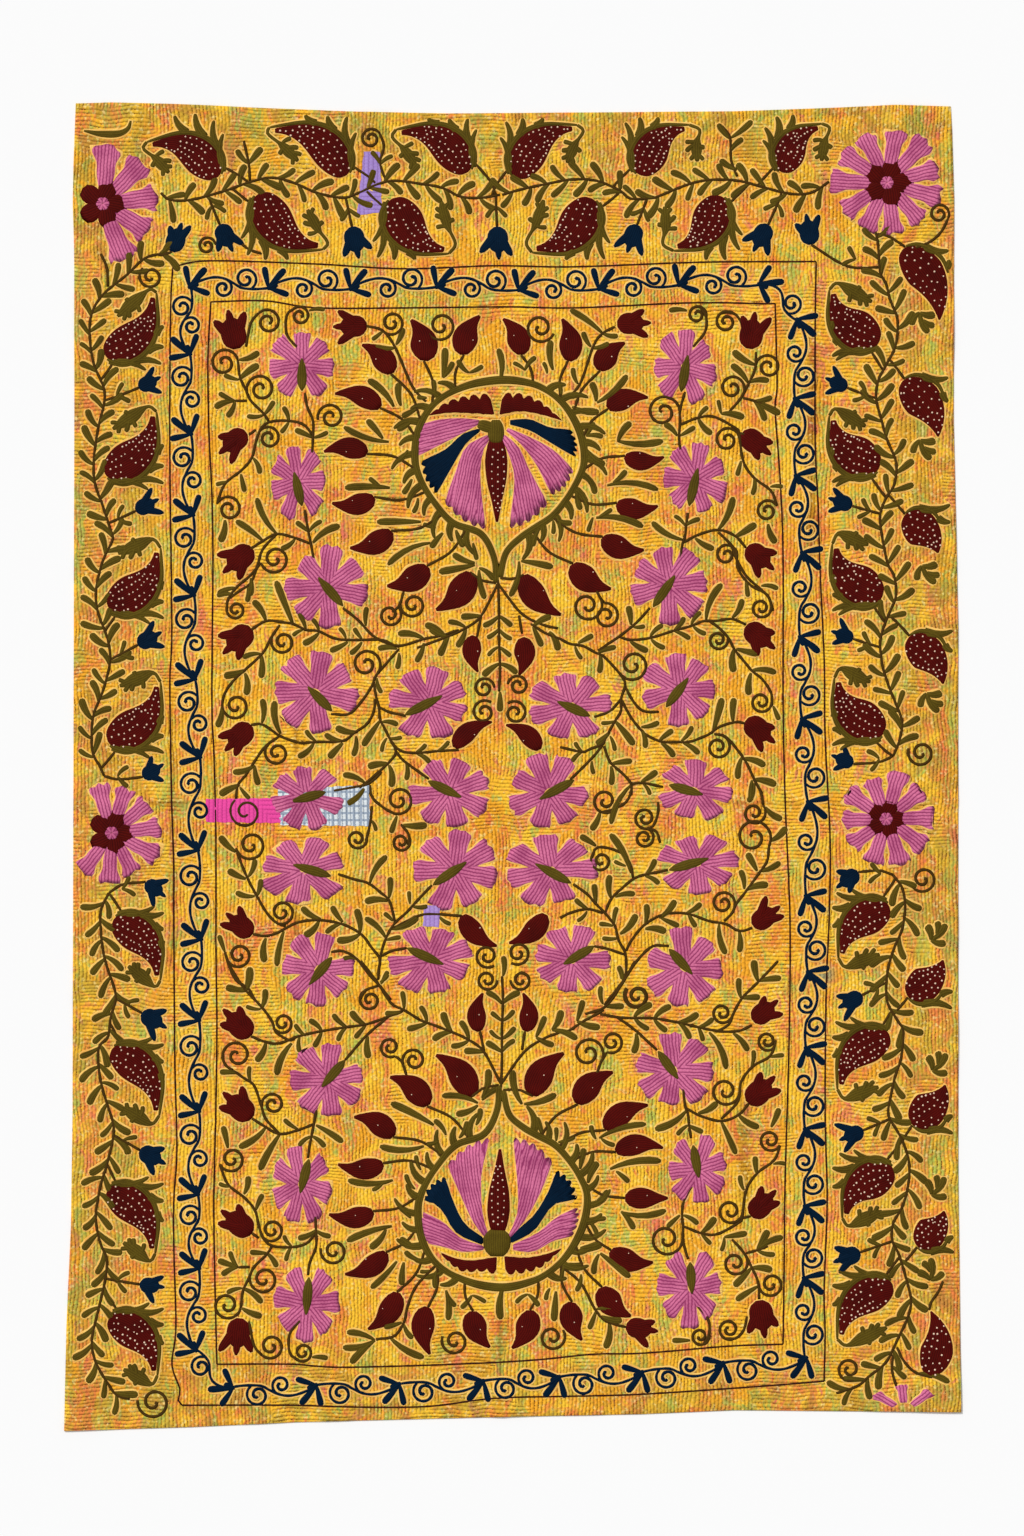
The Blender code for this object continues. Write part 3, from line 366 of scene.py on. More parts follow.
# The same between the two halves.
midStems = [
    (251, 630, 266, 621, 280, 622, 293, 624, 306, 630, 318, 631, 333, 638, 346, 640, 362, 640, 382, 640,
     399, 646, 424, 639, 440, 636, 459, 630),
    (343, 608, 359, 621, 372, 635, 386, 643, 399, 647),
    (331, 714, 349, 714, 362, 701, 372, 686, 376, 676, 386, 664, 399, 649),
    (251, 725, 261, 724, 270, 729, 280, 736, 293, 741, 303, 743, 316, 742, 343, 741, 354, 733, 367, 724,
     374, 711, 375, 699),
    (374, 681, 376, 696, 379, 707, 380, 719, 384, 727, 389, 737, 396, 751, 392, 759, 382, 769, 367, 782,
     358, 789),
    (379, 707, 389, 712, 406, 716),
    (396, 751, 404, 761, 429, 779),
    (391, 742, 401, 751, 416, 753, 439, 751, 459, 750),
    (261, 563, 250, 576, 236, 588, 228, 600, 227, 611),
    (280, 625, 271, 638, 263, 653, 246, 669, 235, 679, 225, 693, 222, 706),
    (280, 736, 266, 746, 255, 761, 246, 775, 238, 785, 236, 799),
    (332, 791, 349, 788, 368, 784, 382, 772),
    (370, 785, 372, 797, 384, 808, 397, 815),
    (401, 824, 409, 835, 408, 845),
    (372, 806, 370, 824, 366, 841),
    (236, 848, 240, 860, 248, 879, 257, 896, 267, 913, 277, 923, 286, 926),
    (253, 934, 265, 936, 277, 933, 288, 927, 299, 922, 319, 920, 342, 924, 361, 934, 372, 948, 380, 959,
     378, 973),
    (338, 874, 353, 879, 368, 883, 380, 892, 389, 900, 393, 913, 395, 923),
    (432, 885, 416, 902, 407, 912, 395, 923, 387, 936, 382, 950, 380, 961, 378, 980),
    (391, 929, 418, 916, 433, 914, 462, 916),
    (382, 956, 391, 951, 407, 948),
    (331, 952, 343, 951, 357, 959, 368, 973, 380, 986, 391, 1000),
    (378, 986, 366, 990, 360, 1000),
    (225, 952, 229, 965, 236, 980, 248, 988, 255, 1000),
    (531, 624, 545, 633, 560, 639, 570, 644, 583, 646, 596, 653, 603, 656, 613, 666, 623, 678, 625, 686,
     621, 699, 621, 711, 615, 721, 605, 739, 603, 744, 590, 749, 582, 752, 560, 747),
    (650, 608, 636, 623, 620, 636, 608, 644, 598, 651),
    (620, 637, 630, 640, 650, 638, 673, 631, 691, 626, 704, 621, 716, 621, 732, 619, 746, 625),
    (709, 621, 719, 628, 729, 639, 734, 649, 742, 659, 752, 671, 762, 679, 771, 693, 772, 706),
    (731, 545, 736, 558, 746, 576, 759, 588, 769, 598, 772, 610),
    (625, 686, 633, 701, 643, 711, 659, 712),
    (594, 717, 610, 711, 621, 699),
    (621, 699, 630, 716, 640, 729, 648, 736, 663, 742, 679, 742, 689, 742, 703, 737, 711, 733, 719, 727,
     736, 722, 746, 724),
    (714, 734, 726, 737, 739, 752, 747, 764, 754, 779, 762, 794),
    (603, 744, 593, 757, 570, 780),
    (604, 746, 610, 762, 623, 774, 631, 784, 631, 795),
    (631, 784, 643, 783, 663, 787),
    (631, 783, 631, 792, 625, 803, 611, 810, 600, 812),
    (658, 802, 658, 813, 653, 826, 645, 829),
    (645, 829, 656, 831, 660, 843),
    (754, 780, 761, 793, 763, 805),
    (668, 870, 653, 873, 643, 875, 633, 879, 621, 889, 611, 899, 605, 913),
    (633, 878, 630, 863, 621, 853, 608, 848, 596, 848, 592, 858),
    (573, 884, 587, 894, 596, 904, 605, 913, 615, 926, 618, 939, 625, 952, 626, 959, 626, 972, 623, 982),
    (603, 913, 587, 909, 570, 913, 560, 918),
    (626, 951, 631, 941, 643, 926, 659, 916, 673, 913, 689, 914, 709, 921, 726, 924, 739, 931, 752, 928),
    (724, 921, 732, 913, 736, 904, 746, 891, 759, 873, 767, 861, 769, 846),
    (594, 946, 608, 949, 626, 955),
    (669, 946, 653, 946, 641, 956, 631, 969, 623, 982, 606, 1006, 585, 1014),
]
midLeaves = [
    (266, 621, 253, 601), (293, 624, 276, 581), (306, 629, 299, 613), (303, 630, 293, 636),
    (319, 631, 312, 619), (319, 633, 303, 644), (346, 639, 339, 628), (348, 642, 330, 651),
    (362, 639, 354, 628), (362, 642, 350, 654), (366, 626, 367, 607), (397, 649, 378, 649),
    (399, 653, 397, 669), (424, 639, 398, 634), (424, 643, 416, 662), (445, 636, 425, 625),
    (445, 638, 439, 653), (377, 678, 382, 693), (236, 588, 218, 594), (251, 578, 250, 596),
    (222, 707, 217, 727), (261, 654, 243, 658), (261, 654, 261, 678), (246, 670, 224, 676),
    (245, 673, 246, 695), (255, 765, 233, 772), (255, 766, 259, 785), (240, 785, 220, 795),
    (240, 787, 250, 799), (262, 723, 262, 699), (281, 734, 275, 701), (316, 741, 306, 730),
    (314, 743, 298, 757), (343, 741, 325, 734), (343, 743, 329, 758), (358, 732, 336, 727),
    (356, 736, 353, 756), (380, 721, 363, 746), (382, 722, 398, 725), (389, 738, 402, 737),
    (387, 738, 382, 752), (416, 752, 426, 744), (417, 754, 430, 763), (437, 751, 449, 741),
    (406, 762, 406, 780), (389, 764, 368, 767), (389, 765, 391, 787), (365, 783, 343, 775),
    (365, 787, 347, 804), (403, 825, 427, 825), (397, 816, 391, 833), (371, 820, 376, 831),
    (236, 852, 220, 836), (246, 879, 228, 870), (248, 877, 255, 859), (255, 896, 236, 892),
    (257, 896, 261, 879), (266, 938, 265, 962), (284, 931, 277, 966), (321, 919, 302, 907),
    (319, 921, 304, 936), (343, 922, 332, 906), (342, 923, 326, 933), (360, 933, 356, 909),
    (360, 934, 337, 940), (370, 883, 387, 856), (389, 898, 390, 877), (388, 901, 365, 902),
    (393, 921, 384, 913), (410, 904, 409, 891), (412, 906, 428, 906), (391, 929, 418, 916),
    (439, 916, 451, 924), (386, 938, 365, 918), (386, 940, 401, 937), (357, 959, 343, 959),
    (380, 982, 388, 974), (225, 952, 219, 935), (246, 988, 226, 987), (246, 988, 250, 967),
    (746, 580, 748, 597), (761, 586, 778, 589), (631, 625, 628, 606), (633, 627, 645, 626),
    (598, 653, 616, 647), (600, 654, 599, 673), (578, 643, 593, 635), (575, 646, 582, 659),
    (650, 637, 663, 625), (651, 639, 665, 648), (674, 630, 684, 617), (674, 631, 690, 639),
    (691, 625, 701, 612), (693, 626, 706, 634), (706, 620, 722, 584), (732, 618, 742, 599),
    (630, 641, 648, 651), (734, 649, 734, 672), (736, 649, 758, 654), (751, 671, 776, 673),
    (751, 673, 749, 695), (773, 706, 779, 720), (641, 727, 659, 722), (641, 729, 645, 748),
    (659, 741, 673, 730), (661, 743, 674, 757), (681, 741, 692, 726), (683, 743, 699, 754),
    (713, 732, 722, 698), (733, 722, 734, 698), (742, 757, 738, 779), (742, 759, 765, 766),
    (753, 780, 776, 785), (752, 780, 751, 799), (615, 721, 601, 723), (615, 721, 634, 745),
    (610, 732, 596, 744), (610, 736, 615, 751), (582, 751, 575, 742), (582, 752, 572, 762),
    (592, 761, 594, 774), (611, 764, 632, 761), (611, 766, 611, 785), (641, 782, 657, 771),
    (643, 784, 650, 795), (631, 785, 611, 824), (600, 812, 591, 830), (765, 807, 782, 819),
    (754, 783, 748, 802), (756, 780, 776, 785), (596, 846, 580, 836), (631, 873, 610, 834),
    (626, 866, 614, 861), (645, 875, 655, 859), (645, 876, 659, 884), (611, 898, 610, 875),
    (615, 897, 635, 894), (596, 903, 594, 884), (613, 926, 599, 924), (614, 924, 617, 907),
    (618, 938, 602, 938), (620, 934, 636, 914), (588, 909, 575, 899), (587, 911, 577, 921),
    (645, 924, 646, 904), (645, 929, 666, 932), (659, 918, 675, 900), (661, 918, 679, 926),
    (686, 913, 701, 903), (688, 913, 696, 927), (719, 924, 726, 954), (739, 931, 739, 952),
    (770, 841, 786, 827), (757, 871, 747, 853), (759, 871, 780, 862), (744, 889, 740, 870),
    (746, 890, 768, 885), (621, 979, 618, 967), (603, 1004, 601, 986), (605, 1006, 622, 1006),
]
midCurls = [
    (275, 559, 10), (236, 610, 9), (283, 642, 10), (366, 664, 10), (236, 706, 9), (277, 753, 11),
    (390, 615, 10), (413, 605, 8), (399, 800, 10), (401, 842, 8), (357, 839, 10), (251, 845, 10),
    (282, 912, 11), (239, 955, 9), (246, 812, 10), (726, 555, 10), (633, 665, 9), (718, 640, 9),
    (718, 747, 11), (587, 606, 10), (606, 616, 10), (761, 702, 9), (761, 608, 9), (605, 801, 11),
    (645, 818, 9), (644, 838, 9), (754, 813, 10), (601, 861, 9), (753, 837, 10), (723, 903, 11),
    (637, 996, 9),
]

# Metres, but the corners of its even grid are in chart steps.
groundCloth = {
    "flat": (1.53, 2.26), "corners": (70.0, 956.0, 108.0, 1418.0), "thick": 0.0022, "pitch": 0.0085, "coarse": 6,
    "hemLines": (0, 0.0012, 0.0085, 0.0115), "hemExtra": 0.0004, "hemWidth": 0.0118, "hemSlope": 0.003,
    "roundRim": 0.0012, "edgeThin": 0.62, "rippleSum": 1.6, "puffFrom": 0.012,
    "rippleHeight": 0.0011, "ripples": 14, "waves": (0.09, 0.5), "puff": 0.00025, "puffWaves": (0.026, 0.021),
    "creaseWobble": (0.004, 0.002), "creaseEnd": 0.05,
}
# The cloth's edges in chart steps.
topEdge = [(76, 103.5), (105, 102.5), (170, 104), (257, 108), (360, 112), (448, 113.6), (600, 112.5),
           (738, 111.4), (835, 108), (900, 105), (930, 106), (950.5, 106.5)]
bottomEdge = [(64, 1431), (194, 1427), (300, 1422), (495, 1417), (640, 1414), (733, 1410), (835, 1411),
              (961, 1412)]
leftEdge = [(76, 104), (73.6, 167), (72.8, 206), (74.3, 253), (74.5, 400), (73.3, 870), (72.6, 1110),
            (71, 1216), (66.5, 1315), (64, 1431)]
rightEdge = [(950.5, 106.5), (952, 134), (954, 200), (953.5, 420), (956, 528), (958, 631), (958.2, 1180),
             (959.6, 1288), (961, 1412)]
# Creases: two ends in chart steps, then width and height in metres.
creases = [
    (88, 803, 200, 801, 0.012, 0.0030), (586, 801, 955, 804, 0.014, 0.0026), (200, 806, 586, 803, 0.014, 0.0014),
    (294, 560, 295, 1110, 0.012, 0.0026), (498, 1290, 499, 1420, 0.012, 0.0022),
    (811, 250, 812, 420, 0.013, 0.0034), (808, 500, 812, 690, 0.014, 0.0038),
    (172, 740, 172, 1060, 0.014, 0.0016), (746, 1100, 748, 1200, 0.014, 0.0026),
    (640, 800, 640, 1400, 0.018, 0.0010), (870, 1180, 880, 1400, 0.016, 0.0014),
    (370, 95, 372, 260, 0.013, 0.0020), (100, 1100, 104, 1400, 0.014, 0.0018),
    (905, 180, 907, 900, 0.014, 0.0014),
]


# Places read along an edge by its main coordinate, 0 for x and 1 for y.
def edgeAt(edge, main, values):
    edge = np.asarray(edge, float)
    return np.interp(values, edge[:, main], edge[:, 1 - main])


# Places pulled in to a margin inside the hems: each is held between the edges at its own height or width.
def onCloth(places, margin):
    x, y = places.T
    heldX = np.clip(x, edgeAt(leftEdge, 1, y) + margin, edgeAt(rightEdge, 1, y) - margin)
    heldY = np.clip(y, edgeAt(topEdge, 0, x) + margin, edgeAt(bottomEdge, 0, x) - margin)
    return np.stack([heldX, heldY], -1)


# Soft unevenness: a sum of sines in turned directions, cut off below 0.
def ripples(x, y):
    rng = np.random.default_rng(11)
    total = np.zeros_like(x)
    for _ in range(groundCloth["ripples"]):
        turn = rng.uniform(0, pi)
        wave = rng.uniform(*groundCloth["waves"])
        phase = rng.uniform(0, 2 * pi)
        total += np.sin(2 * pi * (x * np.cos(turn) + y * np.sin(turn)) / wave + phase) * wave ** 0.5
    return groundCloth["rippleHeight"] * np.clip(total / groundCloth["rippleSum"], 0, None)


# A crease: a ridge along a wandering line, its height times e to the minus 1.5th power of the distance
# over the width, fading at both ends.
def creaseLift(x, y):
    lift = np.zeros_like(x)
    for x0, y0, x1, y1, width, height in creases:
        a, b = toMetres([(x0, y0), (x1, y1)])
        run = b - a
        length = np.hypot(*run)
        run = run / length
        along = (x - a[0]) * run[0] + (y - a[1]) * run[1]
        across = (x - a[0]) * -run[1] + (y - a[1]) * run[0]
        slow, quick = groundCloth["creaseWobble"]
        across = across + slow * np.sin(along * 19) + quick * np.sin(along * 57)
        fade = np.clip(np.minimum(along, length - along) / groundCloth["creaseEnd"] + 0.5, 0, 1)
        lift += height * fade * np.exp(-np.abs(across / width) ** 1.5)
    return lift


# Height of the cloth's underside over the floor.
def undersideAt(x, y):
    return ripples(x, y) + creaseLift(x, y)


# Height of the cloth's top: its underside plus its thickness.
def topAt(x, y):
    return undersideAt(x, y) + groundCloth["thick"]


# A mesh from flat arrays of vertices, polygon corners and polygon sizes, with a UV for each vertex.
def meshFrom(name, verts, corners, sizes, uvs, smooth=True):
    mesh = bpy.data.meshes.new(name)
    mesh.vertices.add(len(verts))
    mesh.vertices.foreach_set("co", np.ascontiguousarray(verts, np.float32).ravel())
    mesh.loops.add(len(corners))
    mesh.loops.foreach_set("vertex_index", np.ascontiguousarray(corners, np.int32))
    starts = np.concatenate([[0], np.cumsum(sizes)[:-1]]).astype(np.int32)
    mesh.polygons.add(len(sizes))
    mesh.polygons.foreach_set("loop_start", starts)
    mesh.polygons.foreach_set("use_smooth", np.full(len(sizes), smooth))
    layer = mesh.uv_layers.new(name="threadUv")
    layer.data.foreach_set("uv", np.ascontiguousarray(uvs[corners], np.float32).ravel())
    mesh.update(calc_edges=True)
    mesh.validate()
    made = bpy.data.objects.new(name, mesh)
    bpy.context.scene.collection.objects.link(made)
    return made


# Grid lines from 0 to 1 for a length in metres: three close ones at each hem, then an even pitch.
def gridLines(length):
    hem = np.array(groundCloth["hemLines"]) / length
    coarse = groundCloth["coarse"]
    count = int(round((length - 2 * groundCloth["hemLines"][3]) / groundCloth["pitch"] / coarse)) * coarse
    inner = np.linspace(hem[3], 1 - hem[3], count + 1)
    return np.concatenate([hem[:3], inner, 1 - hem[:3][::-1]])


# The cloth: an evenly spaced grid between its four edges, thicker at its hem, closed below by a coarser grid.
def buildGround():
    width, length = groundCloth["flat"]
    u, v = gridLines(width), gridLines(length)
    left, right, top, bottom = groundCloth["corners"]
    chartX, chartY = left + u * (right - left), top + v * (bottom - top)
    topY, bottomY = edgeAt(topEdge, 0, chartX), edgeAt(bottomEdge, 0, chartX)
    leftX, rightX = edgeAt(leftEdge, 1, chartY), edgeAt(rightEdge, 1, chartY)
    gridX = leftX[None, :] * (1 - u[:, None]) + rightX[None, :] * u[:, None]
    gridY = topY[:, None] * (1 - v[None, :]) + bottomY[:, None] * v[None, :]
    place = toMetres(np.stack([gridX, gridY], -1))
    x, y = place[..., 0], place[..., 1]
    inward = np.minimum(np.minimum(u, 1 - u)[:, None] * width, np.minimum(v, 1 - v)[None, :] * length)
    hem = groundCloth["hemExtra"] * np.clip((groundCloth["hemWidth"] - inward) / groundCloth["hemSlope"], 0, 1)
    waveX, waveY = groundCloth["puffWaves"]
    puff = np.sin(y * 2 * pi / waveY + 3 * np.sin(x * 9)) * np.sin(x * 2 * pi / waveX + 2 * np.sin(y * 7))
    puff = groundCloth["puff"] * puff * (inward > groundCloth["puffFrom"])
    rim = np.clip(inward / groundCloth["roundRim"], 0, 1)
    thinning = groundCloth["edgeThin"] + (1 - groundCloth["edgeThin"]) * rim
    z = undersideAt(x, y) + (groundCloth["thick"] + hem + puff) * thinning
    top = np.stack([x, y, z], -1)
    # Below: every so many lines, and both edges.
    step = groundCloth["coarse"]
    iu, iv = (np.unique(np.append(np.arange(0, len(lines), step), len(lines) - 1)) for lines in (u, v))
    low = top[np.ix_(iu, iv)].copy()
    low[..., 2] = undersideAt(low[..., 0], low[..., 1])
    nu, nv, mu, mv = len(u), len(v), len(iu), len(iv)
    index = np.arange(nu * nv).reshape(nu, nv)
    below = nu * nv + np.arange(mu * mv).reshape(mu, mv)
    quads, under = facesOf(index), facesOf(below, True)
    corners, sizes = [quads.ravel(), under.ravel()], [np.full(len(quads) + len(under), 4)]
    # Walls: from each coarse step below to all the fine steps above it.
    sides = [
        (index[:, 0], below[:, 0], iu, 1), (index[:, -1], below[:, -1], iu, -1),
        (index[0, :], below[0, :], iv, -1), (index[-1, :], below[-1, :], iv, 1),
    ]
    for fine, coarse, marks, turn in sides:
        for k in range(len(marks) - 1):
            ring = np.concatenate([fine[marks[k]:marks[k + 1] + 1], coarse[[k + 1, k]]])
            corners.append(ring[::turn])
            sizes.append([len(ring)])
    verts = np.concatenate([top.reshape(-1, 3), low.reshape(-1, 3)])
    return meshFrom("groundCloth", verts, np.concatenate(corners), np.concatenate(sizes), verts[:, :2])


ground = buildGround()
print("ground cloth", len(ground.data.polygons))

# Heights in metres; half widths and steps in chart steps; a leaf's widths are shares at its stations.
thread = {
    "rise": 0.0009, "sink": 0.0004, "unevenRise": 0.13, "shoulder": 0.62, "stemHalf": 1.7, "wobble": 0.10,
    "stationStep": 4.2, "leafHalf": 3.35, "leafStations": (0, 0.16, 0.36, 0.58, 0.78, 0.93, 1.0), "leafBow": 0.10,
    "leafWidths": (0.40, 0.62, 0.82, 0.97, 1.04, 0.90, 0.45), "hemMargin": 5.5,
    "plumeWidths": (1.0, 0.98, 0.90, 0.78, 0.62, 0.46, 0.26), "curlTurns": 1.55, "curlEnd": 1.2,
}
# The ridge that stands round a motif, coloured pale as a painted highlight where the cloth round the motif catches
# light: how far its outer and inner foot stand from a pad's rim, its ends and height.
edging = {
    "colours": ("maroon", "pink", "olive", "navy"), "outer": 1.9, "inner": 0.55, "ends": 1.5, "rise": 0.30,
    "endDrop": -0.8,
}
shapes = {colour: [] for colour in ("maroon", "pink", "olive", "stem", "navy", "brown", "cream", "edge")}
shapeCount = {"all": 0}


# Distances across a strip from -1 to 1, closer at its rims.
def acrossSteps(count):
    return np.sin(np.linspace(-pi / 2, pi / 2, count)) if count > 4 else np.array([-1, -0.6, 0.6, 1.0])


# Lengths of steps.
def spans(steps):
    return np.hypot(steps[..., 0], steps[..., 1])


# Steps as unit steps: each over its length.
def unit(steps):
    return steps / np.maximum(spans(steps), 1e-6)[..., None]


# The low ridge that stands round a motif, its pale colour a painted highlight of the cloth round the motif: each
# pad's long rims and ends moved outwards, with a few of its inner columns so that the ridge keeps to the cloth below
# a wide pad.
def addEdging(grid):
    first, last = grid[:, :, 0], grid[:, :, -1]
    side = unit(first - last)
    step = 3 if grid.shape[2] > 9 else 4
    columns = np.concatenate([
        np.stack([first + side * edging["outer"], first + side * edging["inner"]], 2), grid[:, :, step:-step:step],
        np.stack([last - side * edging["inner"], last - side * edging["outer"]], 2),
    ], 2)
    middle = columns.mean(2)
    ends = unit(np.stack([middle[:, 0] - middle[:, 1], middle[:, -1] - middle[:, -2]], 1)) * edging["ends"]
    columns = np.concatenate([columns[:, :1] + ends[:, :1, None], columns, columns[:, -1:] + ends[:, 1:, None]], 1)
    addPads("edge", columns, edging["rise"], edging["endDrop"])


# Raised pads on the cloth from grids of chart places, (pads, along, across, 2): the height falls from
# the rise above the cloth's top by the cube of the share across, the rims sink into the cloth, and a
# strip below closes each pad. Each pad stands a little higher or lower than the next.
def addPads(colour, grid, rise=1.0, endDrop=0.35):
    grid = np.asarray(grid, float)
    if colour in edging["colours"]:
        addEdging(grid)
    place = toMetres(grid)
    pads, nu, nv = place.shape[:3]
    du = place[:, 1:, :-1] - place[:, :-1, :-1]
    dv = place[:, :-1, 1:] - place[:, :-1, :-1]
    turned = (du[..., 0] * dv[..., 1] - du[..., 1] * dv[..., 0]).sum((1, 2)) < 0
    place[turned] = place[turned][:, :, ::-1]
    # The rows of stitches follow the pad: u is the way along its middle, v the way across from it.
    middle = (place[:, :, 0] + place[:, :, -1]) / 2
    along = np.concatenate([np.zeros((pads, 1)), np.cumsum(spans(np.diff(middle, axis=1)), 1)], 1)
    across = spans(place - place[:, :, :1]) - spans(middle - place[:, :, 0])[..., None]
    uvs = np.stack([np.broadcast_to(along[..., None], across.shape), across], -1)
    order = shapeCount["all"] + np.arange(pads)
    shapeCount["all"] += pads
    lift = thread["rise"] * rise * (1 + thread["unevenRise"] * ((order * 0.618034) % 1.0))[:, None, None]
    acrossProfile = np.ones(nv)
    if nv > 4:
        acrossProfile = 1 - np.abs(np.linspace(-1, 1, nv)) ** 3
        acrossProfile[1] = acrossProfile[-2] = max(acrossProfile[1], thread["shoulder"])
    alongProfile = np.ones(nu)
    alongProfile[0] = alongProfile[-1] = endDrop
    top = topAt(place[..., 0], place[..., 1])
    z = top + lift * acrossProfile * alongProfile[:, None]
    z[..., [0, -1]] = top[..., [0, -1]] - thread["sink"]
    verts = np.concatenate([place, z[..., None]], -1).reshape(-1, 3)
    index = np.arange(nu * nv).reshape(nu, nv)
    quads = facesOf(index, True)
    under = np.stack([index[1:, 0], index[:-1, 0], index[:-1, -1], index[1:, -1]], -1)
    template = np.concatenate([quads.ravel(), under.ravel(), index[0], index[-1][::-1]])
    sizes = np.concatenate([np.full(len(quads) + len(under), 4), [nv, nv]])
    corners = (np.arange(pads)[:, None] * nu * nv + template[None]).ravel()
    shapes[colour].append((verts, corners, np.tile(sizes, pads), uvs.reshape(-1, 2)))


# The way gone along a path at each of its places.
def wayAlong(path):
    return np.concatenate([[0], np.cumsum(spans(np.diff(path, axis=0)))])


# Values that belong to a path's places, read after so much of the way.
def readAlong(path, values, at):
    reach = wayAlong(path)
    return np.stack([np.interp(at, reach, values[:, 0]), np.interp(at, reach, values[:, 1])], -1)


# A smooth path through places, a Catmull-Rom curve, with a station about every so many chart steps.
def smoothPath(points, stationStep=None):
    points = asPlaces(points)
    spacing = stationStep or thread["stationStep"]
    ends = np.concatenate([[2 * points[0] - points[1]], points, [2 * points[-1] - points[-2]]])
    a, b, c, d = ends[:-3], ends[1:-2], ends[2:-1], ends[3:]
    t = np.linspace(0, 1, 9)[:-1][None, :, None]
    a, b, c, d = (p[:, None] for p in (a, b, c, d))
    curve = (2 * b + (c - a) * t + (2 * a - 5 * b + 4 * c - d) * t ** 2 + (3 * b - a - 3 * c + d) * t ** 3) / 2
    curve = np.concatenate([curve.reshape(-1, 2), points[-1:]])
    count = max(int(round(wayAlong(curve)[-1] / spacing)), 2) + 1
    return readAlong(curve, curve, np.linspace(0, wayAlong(curve)[-1], count))


# Unit normals along paths, square to the run from the station before to the one after.
def normalsOf(path):
    return unit(turnedLeft(np.gradient(path, axis=-2)))


# Strips round paths (strips, stations, 2) with half widths (strips, stations).
def addStrips(colour, paths, halves, across=4, rise=1.0, endDrop=0.35):
    paths, halves = np.asarray(paths, float), np.asarray(halves, float)
    sideways = normalsOf(paths)[:, :, None] * (halves[..., None] * acrossSteps(across))[..., None]
    addPads(colour, paths[:, :, None] + sideways, rise, endDrop)


# A stitched line along a path: a little uneven in width, and at its end the tail's share as wide.
def addLine(colour, points, half, rise=0.9, stationStep=None, tail=1.0):
    path = smoothPath(points, stationStep)
    t = np.linspace(0, 1, len(path))
    wobble = 1 + thread["wobble"] * np.sin(np.arange(len(path)) * 1.9 + path[0, 0])
    addStrips(colour, [path], [half * wobble * (1 + (tail - 1) * t)], 4, rise)


# A stem through places.
def addStem(points):
    addLine("stem", points, thread["stemHalf"])


# Paths over runs from their bases, bowed sideways by a share of the run times 4 t (1 - t).
def bowedPaths(base, run, bow, t):
    return base[:, None] + run[:, None] * t[:, None] + turnedLeft(run)[:, None] * (bow * 4 * t * (1 - t))[..., None]


# Leaves from base to tip: the half width is the leaf's own times the shares at its stations, and the
# middle line is bowed to one side by a share of its length times 4 t (1 - t).
def addLeaves(rows, colour="olive", half=None, bow=None, widths="leafWidths"):
    rows = np.asarray(rows, float)
    base, order = rows[:, :2], np.arange(len(rows))
    run = onCloth(rows[:, 2:4], thread["hemMargin"]) - base
    if bow is None:
        bow = thread["leafBow"] * np.sin(order * 2.3 + base[:, 0])
    if half is None:
        half = thread["leafHalf"] * np.clip(spans(run) / 18, 0.8, 1.2)
    bow, half = (np.broadcast_to(value, len(rows))[:, None] for value in (bow, half))
    halves = half * np.array(thread[widths])[None] * (1 + 0.08 * np.sin(order * 1.7)[:, None])
    addStrips(colour, bowedPaths(base, run, bow, np.array(thread["leafStations"])), halves, 5)


# A curl: the radius falls to 1.2 steps by the 0.72nd power of what is left, while the angle goes round.
def curlPath(centre, attach, turns, spin):
    away = np.subtract(attach, centre)
    radius, start = np.hypot(*away), np.arctan2(away[1], away[0])
    t = np.linspace(0, 1, 26)
    reach = thread["curlEnd"] + (radius - thread["curlEnd"]) * (1 - t) ** 0.72
    return np.asarray(centre, float) + headed(start + spin * 2 * pi * turns * t) * reach[:, None]


# A curl grown from the nearest stem: it leaves the stem along it and winds to its centre.
def addCurl(row, stems):
    centre, radius = np.array(row[:2], float), row[2]
    places = np.concatenate(stems)
    ways = np.concatenate([np.gradient(s, axis=0) for s in stems])
    far = spans(places - centre)
    k = int(np.argmin(np.abs(far - radius * 1.15) + 0.2 * far))
    attach, away = places[k], places[k] - centre
    spin = 1 if away[0] * ways[k][1] - away[1] * ways[k][0] > 0 else -1
    if far[k] > radius * 1.9:
        attach = centre + away / far[k] * radius * 1.5
    addLine("stem", curlPath(centre, attach, thread["curlTurns"], spin), thread["stemHalf"], 0.9, 2.4, 1.15)


# The lower half seen in the upper one: y turned over, a little more on the right.
def mirrored(points):
    points = np.array(points, float)
    shift = chart["mirrorDrop"] * np.clip((points[..., 0] - 500) / 140, 0, 1)
    return np.stack([points[..., 0] + chart["mirrorX"], chart["mirrorY"] - shift - points[..., 1]], -1)


def mirroredRow(row):
    return mirrored(asPlaces(row)).ravel()


# Rows of the lower half that the upper half has too: the rest lies between the halves.
def sharedRows(rows, width):
    def isShared(row):
        places = asPlaces(row[:width] if width else row)
        return places[:, 1].mean() > 1062 or abs(places[:, 0].mean() - 500) < 62
    return [row for row in rows if isShared(row)]


fieldStems = [*lowStems, *[mirroredRow(s) for s in sharedRows(lowStems, 0)], *midStems, *endStems]
stemPaths = [smoothPath(s) for s in fieldStems]
for path in stemPaths:
    addStem(path)
highLeaves = mirrored(asPlaces(sharedRows(lowLeaves, 4))).reshape(-1, 4)
for leaves in (lowLeaves, highLeaves, midLeaves, endLeaves):
    addLeaves(leaves)
highCurls = [(*mirrored(c[:2]), c[2]) for c in sharedRows(lowCurls, 2)]
highCurls = [h for h in highCurls if min(np.hypot(h[0] - m[0], h[1] - m[1]) for m in midCurls) > 18]
fieldCurls = [*lowCurls, *highCurls, *midCurls, *endCurls]
for row in fieldCurls:
    addCurl(row, stemPaths)
print("field vines")


